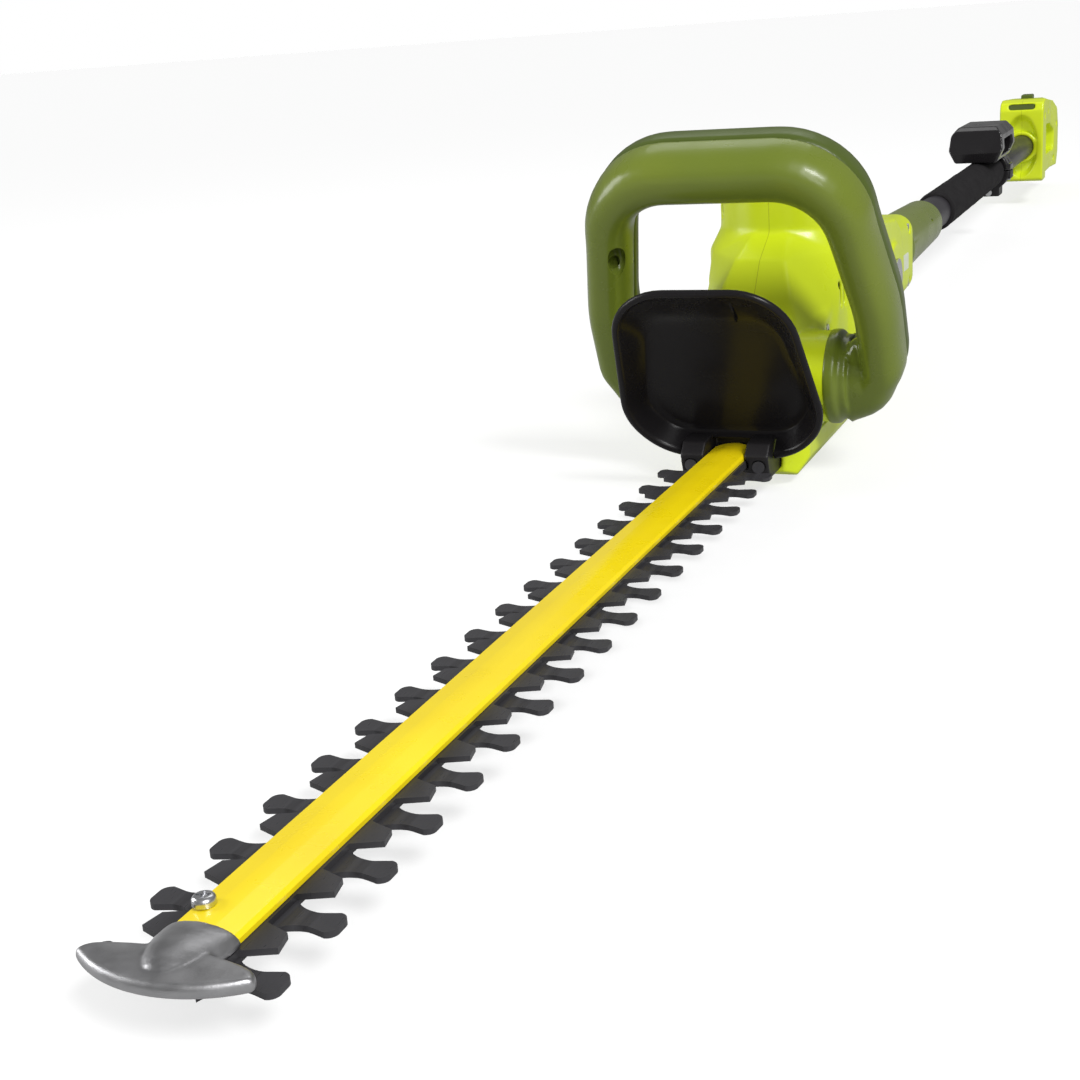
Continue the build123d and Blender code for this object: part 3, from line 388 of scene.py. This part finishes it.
def foam():
    s = Shader("foam_closed_cell", 0.85, specular=0.15)
    s.colour(s.drift(120, 4, (0.009, 0.008, 0.009), (0.017, 0.016, 0.017)))
    s.bump(s.cells(900), 0.5, 0.0006)
    s.bump(s.noise(60, 3), 0.25, 0.001)
    return s.material


def dress_nodes():
    """Gives each CAD node the material of its slot.  The shield's screws are blackened."""
    slots = {row["node"]: row["material_slot"] for row in frame["record"]["subparts"]}
    for name, obj in NODES.items():
        material = MATERIALS["blade_steel" if name == "shield_screws" else slots[name]]
        if not obj.material_slots:
            obj.data.materials.append(material)
        for slot in obj.material_slots:
            slot.link = "OBJECT"
            slot.material = material


# ---------------------------------------------------------------- mesh tools
def moved_out(bm, name):
    """The shape of a bmesh as a new object; the bmesh is used up."""
    mesh = bpy.data.meshes.new(name)
    bm.to_mesh(mesh)
    bm.free()
    return linked(name, mesh)


def bake(obj):
    """Replaces the object's mesh by its shape with modifiers, and drops them."""
    graph = bpy.context.evaluated_depsgraph_get()
    mesh = bpy.data.meshes.new_from_object(obj.evaluated_get(graph))
    obj.modifiers.clear()
    obj.data = mesh


def smooth_shaded(obj, angle=None):
    """Smooth shading, with edges sharper than an angle in degrees kept sharp."""
    obj.data.polygons.foreach_set("use_smooth", [True] * len(obj.data.polygons))
    if angle:
        obj.data.set_sharp_from_angle(angle=math.radians(angle))
    obj.data.update()


def copy_of(nodes, name, extras=()):
    """One object with the shapes of some CAD nodes and of any extra objects, which are used up."""
    bm = bmesh.new()
    for node in nodes:
        bm.from_mesh(NODES[node].data)
    for extra in extras:
        bm.from_mesh(extra.data)
        bpy.data.objects.remove(extra)
    return moved_out(bm, name)


def softened(obj, voxel, rounds):
    """Melts the pieces of a mesh into one skin and rounds its edges, as on a moulding or a casting."""
    melt = obj.modifiers.new("melt", "REMESH")
    melt.mode = "VOXEL"
    melt.voxel_size = voxel / 1000
    relax = obj.modifiers.new("relax", "SMOOTH")
    relax.factor = 0.5
    relax.iterations = rounds
    bake(obj)
    smooth_shaded(obj)
    return obj


def cut(obj, tool):
    """Takes another object's shape out of obj and removes that object."""
    mod = obj.modifiers.new("cut", "BOOLEAN")
    mod.operation = "DIFFERENCE"
    mod.solver = "EXACT"
    mod.object = tool
    bake(obj)
    bpy.data.objects.remove(tool)


def side_of(obj, name, side):
    """The half of a mesh on one side of the trimmer's centre plane, as a new object."""
    bm = bmesh.new()
    bm.from_mesh(obj.data)
    bmesh.ops.bisect_plane(bm, geom=bm.verts[:] + bm.edges[:] + bm.faces[:], plane_co=(0, 0, 0),
                           plane_no=(-side, 0, 0), clear_outer=True)
    half = moved_out(bm, name)
    smooth_shaded(half)
    return half


def fit(obj, body, slot, *nodes, look=None):
    """Finishes a piece: puts it on its body and hides the CAD nodes that it stands for.

    Its material is its slot's unless another look is named.
    """
    obj.data.materials.clear()
    obj.data.materials.append(MATERIALS[look or slot])
    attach(obj, body)
    if nodes:
        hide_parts(*nodes)


def bevel(obj, width):
    """Breaks an object's sharp edges and evens the shading across them."""
    mod = obj.modifiers.new("bevel", "BEVEL")
    mod.width = width / 1000
    mod.segments = 2
    mod.limit_method = "ANGLE"
    mod.angle_limit = math.radians(35)
    mod.harden_normals = False
    normals = obj.modifiers.new("normals", "WEIGHTED_NORMAL")
    normals.keep_sharp = True


# ---------------------------------------------------------------- outlines and sweeps
ARC_POINTS = 11
SIDE_POINTS = 8


def full_turn(count, offset=0.0):
    """Evenly spaced angles round a circle."""
    return [2 * math.pi * (j + offset) / count for j in range(count)]


def resampled(points, step, closed):
    """Points about a step apart along a line through the given points."""
    run = list(points) + ([points[0]] if closed else [])
    lengths = [(b - a).length for a, b in zip(run, run[1:])]
    count = max(2, round(sum(lengths) / step))
    out = []
    for i in range(count if closed else count + 1):
        left = sum(lengths) * i / count
        k = 0
        while k < len(lengths) - 1 and left > lengths[k]:
            left -= lengths[k]
            k += 1
        out.append(run[k].lerp(run[k + 1], min(1.0, left / max(lengths[k], 1e-9))))
    return out


def arced(points, radii, closed):
    """A polyline with an arc of ARC_POINTS points at each corner."""
    out = []
    for i, point in enumerate(points):
        if not closed and i in (0, len(points) - 1):
            out.append(Vector(point))
            continue
        before, here = Vector(points[i - 1]), Vector(point)
        after = Vector(points[(i + 1) % len(points)])
        u, v = (before - here).normalized(), (after - here).normalized()
        half_angle = u.angle(v) / 2
        centre = here + (u + v).normalized() * radii[i] / math.sin(half_angle)
        reach = radii[i] / math.tan(half_angle)
        start, end = here + u * reach - centre, here + v * reach - centre
        turn = start.angle(end)
        for k in range(ARC_POINTS):
            w = k / (ARC_POINTS - 1)
            spoke = start * math.sin((1 - w) * turn) + end * math.sin(w * turn)
            out.append(centre + spoke / math.sin(turn))
    return out


def rounded(points, radii, step, closed=False):
    """A polyline with arcs at its corners, as evenly spaced points."""
    return resampled(arced(points, radii, closed), step, closed)


def ringed(points, radii):
    """A closed outline with a fixed number of points at each corner and side, so that two can be skinned."""
    run = arced(points, radii, True)
    out = []
    for i, point in enumerate(run):
        out.append(point)
        if i % ARC_POINTS == ARC_POINTS - 1:
            after = run[(i + 1) % len(run)]
            out += [point.lerp(after, k / SIDE_POINTS) for k in range(1, SIDE_POINTS)]
    return out


def with_mirror(corners, radii):
    """Corners on one side and their mirror images, as one outline, with their radii."""
    return corners + [(-x, y) for x, y in reversed(corners)], radii + radii[::-1]


def with_normals(points, closed=False):
    """Each point of a 2D line with the direction square to the line, on its right."""
    before = (points[-1:] if closed else points[:1]) + points[:-1]
    after = points[1:] + (points[:1] if closed else points[-1:])
    for a, here, b in zip(before, points, after):
        along = (b - a).normalized()
        yield here, Vector((along.y, -along.x))


def inset(points, amount):
    """A clockwise outline moved inwards."""
    return [here + normal * amount for here, normal in with_normals(points, closed=True)]


def eased(values, rounds):
    """Values smoothed along their list, with both ends kept."""
    for _ in range(rounds):
        inner = [(a + 2 * b + c) / 4 for a, b, c in zip(values, values[1:], values[2:])]
        values = [values[0], *inner, values[-1]]
    return values


def skin(name, rings, closed_path=False):
    """A skin over rings of points, with its ends filled unless the path is closed."""
    count = len(rings[0])
    vertices = [p for ring in rings for p in ring]
    faces = []
    for i in range(len(rings) if closed_path else len(rings) - 1):
        a, b = i * count, (i + 1) % len(rings) * count
        for j in range(count):
            k = (j + 1) % count
            faces.append((a + j, a + k, b + k, b + j))
    if not closed_path:
        faces.append(tuple(range(count - 1, -1, -1)))
        faces.append(tuple(range(len(vertices) - count, len(vertices))))
    mesh = bpy.data.meshes.new(name)
    mesh.from_pydata(vertices, [], faces)
    bm = bmesh.new()
    bm.from_mesh(mesh)
    bmesh.ops.recalc_face_normals(bm, faces=bm.faces)
    bpy.data.meshes.remove(mesh)
    return moved_out(bm, name)


def on_leaning_plane(y, z, degrees, x, up, out):
    """A point on a plane that leans towards the blade: x across, up along it, out towards the blade."""
    lean = math.radians(degrees)
    return at(x, y - up * math.sin(lean) - out * math.cos(lean),
              z + up * math.cos(lean) - out * math.sin(lean))


def bead(name, points, radius, place):
    """A round bead along an open 2D line; place(x, up, out) puts a point in the frame."""
    rings = []
    for here, normal in with_normals(points):
        ring = []
        for a in full_turn(10):
            p = here + normal * radius * math.cos(a)
            ring.append(place(p.x, p.y, radius * math.sin(a)))
        rings.append(ring)
    return skin(name, rings)


def brick(name, place, low, high):
    """A box between two corners; place(x, up, out) puts a point in the frame."""
    (x0, y0, out0), (x1, y1, out1) = low, high
    corners = ((x0, y0), (x1, y0), (x1, y1), (x0, y1))
    return skin(name, [[place(x, y, out) for x, y in corners] for out in (out0, out1)])


def ball(name, centre, radii, lean=0.0):
    """An egg shape with three radii, leaning by an angle in degrees about X."""
    bm = bmesh.new()
    bmesh.ops.create_uvsphere(bm, u_segments=32, v_segments=20, radius=1)
    scale = Matrix.Diagonal((radii[0] / 1000, radii[1] / 1000, radii[2] / 1000, 1))
    bm.transform(Matrix.Translation(centre) @ Matrix.Rotation(math.radians(lean), 4, "X") @ scale)
    return moved_out(bm, name)


# ---------------------------------------------------------------- loop handle
LOOP_Y, LOOP_Z, LOOP_LEAN = 82.0, 37.0, 24.0  # the plane that it stands in
LOOP_FOOT = -3.5  # its centre line at each end, up that plane
LOOP_SEAM = -5.0  # where its front and rear covers meet, out of that plane
SEAM_GAP, SEAM_TRIM = 0.35, 1.4
FOOT_UP, FOOT_HALF = -1.5, 20.5
BOSS_FACE = 57.3


def on_loop(x, up, out):
    return on_leaning_plane(LOOP_Y, LOOP_Z, LOOP_LEAN, x, up, out)


def loop_half_width(point):
    """The loop flares towards the bosses on the head, and swells a little along its top."""
    flare_reach, flare_top = 17, 20
    swell_foot, swell_rise = 95, 36
    flare = max(0.0, 1 - (abs(point.x) - BOSS_FACE) / flare_reach) if point.y < flare_top else 0.0
    swell = min(1.0, max(0.0, (point.y - swell_foot) / swell_rise))
    return 12.0 + 9.5 * flare ** 1.6 + 2.8 * swell


def loop_rings(section):
    """Rings of a section round the loop; section(half_width) gives (across, out) pairs."""
    right = [(BOSS_FACE, LOOP_FOOT), (67, LOOP_FOOT), (76, 11), (75.5, 48), (60, 132)]
    path = rounded(*with_mirror(right, [0, 9, 10, 110, 38]), step=2.6)
    halves = eased([loop_half_width(point) for point in path], 5)
    rings = []
    for (point, outward), half_width in zip(with_normals(path), halves):
        ring = []
        for across, out in section(half_width):
            p = point + outward * across
            ring.append(on_loop(p.x, p.y, out))
        rings.append(ring)
    return rings


def oval(half_width, half_depth, power):
    """A rounded rectangle, squarer the higher its power."""
    points = []
    for a in full_turn(56, offset=0.5):
        c, s = math.cos(a), math.sin(a)
        points.append((half_width * math.copysign(abs(c) ** (2 / power), c),
                       half_depth * math.copysign(abs(s) ** (2 / power), s)))
    return points


def loop_front_section(half_width):
    """The front cover's half of the loop, closed by a flat at the seam."""
    points = [(x, y) for x, y in oval(half_width, 21, 2.5) if y > LOOP_SEAM + SEAM_TRIM]
    low = LOOP_SEAM + SEAM_GAP
    left, right = min(x for x, y in points), max(x for x, y in points)
    points = sorted(points, key=lambda p: math.atan2(p[1] - low, p[0]))
    return [(right - 0.9, low), (right - 0.2, low + 0.4), *points, (left + 0.2, low + 0.4), (left + 0.9, low)]


def loop_rear_section(half_width):
    """The rear cover's half, with a tongue that enters the front cover."""
    points = [(x, y) for x, y in oval(half_width - 0.3, 26, 3.2) if y < LOOP_SEAM - SEAM_TRIM]
    high = LOOP_SEAM - SEAM_GAP
    left, right = min(x for x, y in points), max(x for x, y in points)
    points = sorted(points, key=lambda p: -math.atan2(high - p[1], p[0]))
    tongue = half_width - 3.2
    return [(left + 0.9, high), *points, (right - 0.9, high), (tongue, high), (tongue, high + 1.2),
            (-tongue, high + 1.2), (-tongue, high)]


def loop_foot(section, side):
    """The thick foot of one end of the loop."""
    rings = []
    for x, scale in ((BOSS_FACE - 2, 0.97), (BOSS_FACE - 1.4, 1), (61, 1), (65, 0.95), (68, 0.82)):
        rings.append([on_loop(side * x, FOOT_UP - across, out) for across, out in section(FOOT_HALF * scale)])
    return skin("foot", rings)


def loop_flange(side):
    """The round flange that laps over the boss on the head."""
    profile = ((45.6, 25.6), (46.2, 26.3), (50.5, 26.4), (51.8, 26.0), (52.6, 24.8), (53.2, 23.8),
               (57.6, 23.4))
    rings = []
    for x, radius in profile:
        rings.append([on_loop(side * x, radius * math.cos(a), radius * math.sin(a)) for a in full_turn(72)])
    return skin("flange", rings)


def loop_half(name, section, extras=()):
    """A cover of the loop: its arch, its two feet and any extra pieces, melted into one."""
    feet = [loop_foot(section, side) for side in (-1, 1)]
    arch = skin("arch", loop_rings(section))
    return softened(copy_of([], name, [arch, *feet, *extras]), 0.9, 5)


def build_loop():
    flanges = [loop_flange(side) for side in (-1, 1)]
    knuckles = [ball("knuckle", on_loop(side * 63.5, 11.5, 4), (9, 9.5, 16.5), LOOP_LEAN) for side in (-1, 1)]
    front = loop_half("loop_front_cover", loop_front_section, flanges + knuckles)
    cut(front, ball("pocket", on_loop(-60.5, 88, 15), (4.5, 7.5, 10), LOOP_LEAN))
    cut(front, ball("pocket_hole", on_loop(-63.5, 84, 12), (2.2, 8, 3.4)))
    smooth_shaded(front, 42)
    fit(front, "head", "olive_plastic", "loop_front")
    rear = loop_half("loop_rear_cover", loop_rear_section)
    fit(rear, "head", "olive_dark_plastic", "loop_rear")


# ---------------------------------------------------------------- hand shield
SHIELD_Y, SHIELD_Z, SHIELD_LEAN = 31.0, 3.0, 29.0  # the plane that it stands in


def on_shield(x, up, out):
    return on_leaning_plane(SHIELD_Y, SHIELD_Z, SHIELD_LEAN, x, up, out)


def build_shield():
    """The dished shield: a rolled rim, flared walls, a nearly flat floor, and a notch for the bar carrier."""
    rim = ringed(*with_mirror([(-36, -1), (-56.5, 24), (-46, 113)], [34, 34, 32]))
    floor = ringed(*with_mirror([(-33, 7), (-45.5, 25), (-35, 83)], [21, 21, 18]))
    middle = Vector((0, 48))
    wall_top = inset(rim, 3.8)

    def wall(t):
        return [a.lerp(b, t) for a, b in zip(wall_top, floor)]

    def shrunk(scale):
        return [middle + (p - middle) * scale for p in floor]

    # Outlines with how far each stands out: up the back, round the rolled rim, and down the front.
    back = [(shrunk(0.05), -15.6), (shrunk(0.5), -15.6), (shrunk(0.9), -15.2), (shrunk(1.02), -14.6),
            (wall(0.75), -12.8), (wall(0.5), -10.4), (wall(0.25), -7.2), (inset(rim, 3.2), -3.4)]
    roll = [(inset(rim, 0.4), -2.9), (rim, -2.3), (inset(rim, -0.5), -1.4), (inset(rim, -0.6), -0.4),
            (inset(rim, -0.2), 0.5), (inset(rim, 0.7), 1.1), (inset(rim, 2.2), 1.2), (inset(rim, 3.1), 0.6)]
    front = [(wall_top, -0.7), (wall(0.06), -1.6), (wall(0.18), -3.4), (wall(0.4), -6.6), (wall(0.6), -9.2),
             (wall(0.78), -11.2), (wall(0.92), -12.4), (shrunk(1), -12.8), (shrunk(0.9), -13.1),
             (shrunk(0.6), -13.3), (shrunk(0.3), -13.4), (shrunk(0.05), -13.4)]
    rings = [[on_shield(p.x, p.y, out) for p in outline] for outline, out in back + roll + front]
    shield = skin("hand_shield_dish", rings)
    cut(shield, brick("notch", on_shield, (-25, -30, -9), (25, 7.5, 20)))
    smooth_shaded(shield, 50)
    fit(shield, "head", "black_gloss_plastic", "hand_shield", look="shield_black")

    def on_floor(x, up, out):
        return on_shield(x, up, out - 12.2 + (up - 83) * 0.36)

    rib = bead("shield_rib", [Vector((15, 85)), Vector((15.6, 95)), Vector((16, 105))], 0.7, on_floor)
    smooth_shaded(rib)
    fit(rib, "head", "black_gloss_plastic", look="shield_black")
    carrier = softened(copy_of(["bar_carrier"], "bar_carrier_block"), 0.7, 4)
    fit(carrier, "head", "black_plastic", "bar_carrier")


# ---------------------------------------------------------------- tip guard
NOSE_FRONT, NOSE_REAR = LAST_TOOTH - TIP_REACH, LAST_TOOTH - 0.2
NOSE_LOW, NOSE_HIGH = 3.35, 7.8
NOSE_REACH, NOSE_DEPTH = 28.2, 9.5  # half its width, and half its length


def nose_outline():
    """A half moon: an arc in front, and a rear edge that falls away towards its ends."""
    sagitta = LAST_TOOTH - 9.2 - NOSE_FRONT
    radius = (NOSE_REACH ** 2 + sagitta ** 2) / (2 * sagitta)
    half_angle = math.asin(NOSE_REACH / radius)
    arc = []
    for k in range(41):
        a = half_angle * (k / 20 - 1)
        arc.append(Vector((radius * math.sin(a), NOSE_FRONT + radius * (1 - math.cos(a)))))
    fall = ((27.8, 7.0), (26, 4.9), (22, 3.2), (15, 1.6), (8, 0.5))
    right = [Vector((x, NOSE_REAR - drop)) for x, drop in fall]
    left = [Vector((-p.x, p.y)) for p in reversed(right)]
    return resampled([Vector((0, NOSE_REAR)), *left, *arc, *right], 1.0, True)


def nose_plate():
    """The half moon with its rim rounded above and below."""
    outline = nose_outline()
    middle = Vector((0, (NOSE_FRONT + NOSE_REAR) / 2))
    rings = []
    for z, shrink in ((NOSE_LOW, 1.2), (NOSE_LOW + 0.7, 0.3), (NOSE_LOW + 1.6, 0),
                      (NOSE_HIGH - 1.5, 0.1), (NOSE_HIGH - 0.5, 0.7), (NOSE_HIGH, 1.8)):
        ring = []
        for p in outline:
            away = p - middle
            ring.append(at(p.x * (1 - shrink / NOSE_REACH), middle.y + away.y * (1 - shrink / NOSE_DEPTH), z))
        rings.append(ring)
    return skin("plate", rings)


def nose_tongue():
    """The swelling over the bar's end, as arched sections: (y from the last tooth, half width, top)."""
    sections = ((10.0, 12.2, 9.0), (7, 12.2, 9.5), (2, 11.9, 10.0), (-4, 10.6, 10.1), (-9, 8.6, 9.7),
                (-12.5, 6.6, 8.8), (-14.6, 4.6, 7.4), (-15.6, 2.6, 5.6))
    rings = []
    for y, half_width, top in sections:
        ring = []
        for j in range(33):
            a = math.pi * j / 32
            ring.append(at(half_width * math.cos(a), LAST_TOOTH + y,
                           NOSE_LOW + (top - NOSE_LOW) * math.sin(a) ** 0.85))
        rings.append(ring)
    return skin("tongue", rings)


def build_tip_guard():
    """The cast nose: a half-moon plate with a rounded rim, melted into the tongue over the bar."""
    nose = softened(copy_of([], "tip_guard_casting", [nose_plate(), nose_tongue()]), 0.5, 8)
    fit(nose, "head", "cast_aluminium", "tip_guard")


# ---------------------------------------------------------------- mouldings
def build_shell(part, body, voxel, rounds):
    """A pair of half mouldings, softened as one and split again on the centre plane; their look paints shade
    along the seam.
    """
    whole = softened(copy_of([f"{part}_left", f"{part}_right"], "whole"), voxel, rounds)
    for hand, side in (("left", -1), ("right", 1)):
        half = side_of(whole, f"{part}_shell_{hand}", side)
        fit(half, body, "lime_plastic", f"{part}_{hand}", look="lime_seam_shaded")
    bpy.data.objects.remove(whole)


SINGLE_MOULDINGS = (
    # node, piece, body, voxel, rounds of smoothing, slot
    ("base_plate", "base_tray", "head", 0.95, 4, "lime_plastic"),
    ("twist_collar", "collar_sleeve", "collar", 0.75, 5, "olive_plastic"),
    ("assist_grip", "assist_grip_bow", "grip", 0.95, 5, "black_gloss_plastic"),
    ("grip_clamp", "grip_clamp_shell", "grip", 0.7, 4, "black_plastic"),
    ("trigger", "trigger_lever", "trigger", 0.5, 5, "black_plastic"),
    ("lock_button", "hinge_lock_button", "hinge_lock", 0.5, 4, "button_grey"),
)


def build_mouldings():
    """The housings, and the smaller mouldings with the collar's slot."""
    build_shell("head", "head", 1.25, 12)
    build_shell("arm", "front_pole", 1.1, 7)
    build_shell("handle", "rear_pole", 1.15, 9)
    for node, name, body, voxel, rounds, slot in SINGLE_MOULDINGS:
        piece = softened(copy_of([node], name), voxel, rounds)
        if node == "twist_collar":
            cut(piece, ball("collar_slot", at(18.8, 575, 60.3), (3.2, 4.6, 1.3)))
        fit(piece, body, slot, node)


def build_foam():
    """The foam sleeve: rounded ends and a slight unevenness along it and round it.  Lengths are in metres."""
    low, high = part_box("foam_grip")
    y0, y1 = low[1], high[1]
    radius, bore = (high[0] - low[0]) / 2, 0.01422
    shoulder, step, end = 0.0018, 0.0006, 0.002
    profile = [(y0, bore), (y0, radius - shoulder), (y0 + step, radius - step), (y0 + end, radius)]
    count = 120
    for i in range(1, count):
        y = y0 + end + (y1 - y0 - 2 * end) * i / count
        profile.append((y, radius + 0.00022 * noise.noise(Vector((0, y * 60, 3)))))
    profile += [(y1 - end, radius), (y1 - step, radius - step), (y1, radius - shoulder), (y1, bore)]
    axis_z = at(0, 0, POLE_Z).z
    rings = []
    for a in full_turn(64):
        c, s = math.cos(a), math.sin(a)
        ring = []
        for y, r in profile:
            wave = 0.00016 * noise.noise(Vector((c * 2, y * 40, s * 2))) if r > bore else 0
            ring.append(Vector((c * (r + wave), y, axis_z + s * (r + wave))))
        rings.append(ring)
    sleeve = skin("foam_sleeve", rings, closed_path=True)
    smooth_shaded(sleeve, 50)
    fit(sleeve, "rear_pole", "foam", "foam_grip")


def add_spring(node, along, turns):
    """A coil in place of the model's plain sleeve, riding on that sleeve's body.

    It winds along one axis (0, 1 or 2).  Its lengths are in metres.
    """
    low, high = (Vector(corner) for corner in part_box(node))
    units = [Vector((1, 0, 0)), Vector((0, 1, 0)), Vector((0, 0, 1))]
    axis, u, v = units[along], units[(along + 1) % 3], units[(along + 2) % 3]
    wire, per_turn = 0.00035, 24
    middle, length = (low + high) / 2, (high - low)[along]
    radius = (high - low)[(along + 1) % 3] / 2 - wire
    start = middle - axis * (length / 2 - wire)
    steps = turns * per_turn
    rings = []
    for i in range(steps + 1):
        a = 2 * math.pi * i / per_turn
        away = u * math.cos(a) + v * math.sin(a)
        point = start + axis * ((length - 2 * wire) * i / steps) + away * radius
        rings.append([point + (away * math.cos(b) + axis * math.sin(b)) * wire for b in full_turn(8)])
    coil = skin(node + "_coil", rings)
    smooth_shaded(coil)
    bodies = frame["record"]["behaviour"]["bodies"]
    fit(coil, next(body for body, nodes in bodies.items() if node in nodes), "plain_steel", node)
    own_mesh(coil)


def build_springs():
    add_spring("trigger_spring", along=2, turns=3)
    add_spring("lock_off_spring", along=2, turns=6)
    add_spring("lock_spring", along=0, turns=6)


def build_label():
    """The pale blank label on the right of the arm."""
    face, y0, y1, z0, z1, corner = 25.25, 403, 430, 43.5, 55.5, 2
    outline = rounded([(y0, z0), (y1, z0), (y1, z1), (y0, z1)], [corner] * 4, step=1.0, closed=True)
    label = skin("arm_label", [[at(face + depth, p.x, p.y) for p in outline] for depth in (-0.3, 0.05)])
    fit(label, "front_pole", "button_grey", look="label")


BEVELS = {
    0.15: ("tip_screw", "inner_tube", "inlet_blades"),
    0.2: ("guide_studs",),
    0.25: ("support_bar", "shield_screws", "base_screws", "head_screws", "arm_screws", "handle_screws",
           "clamp_screws", "loop_screws"),
    0.3: ("flange_nuts", "bar_bolts", "pole_collet", "outer_tube", "lock_off_button", "pivot_pin",
          "inlet_body"),
    0.35: ("lower_blade", "upper_blade"),
    0.5: ("bar_cover",),
    0.6: ("handle_trim",),
}


def bevel_nodes():
    for width, nodes in BEVELS.items():
        for node in nodes:
            bevel(NODES[node], width)


add_camera()
add_floor()
add_lights()
MATERIALS = build_materials()
dress_nodes()
build_loop()
build_shield()
build_tip_guard()
build_mouldings()
build_foam()
build_springs()
build_label()
bevel_nodes()
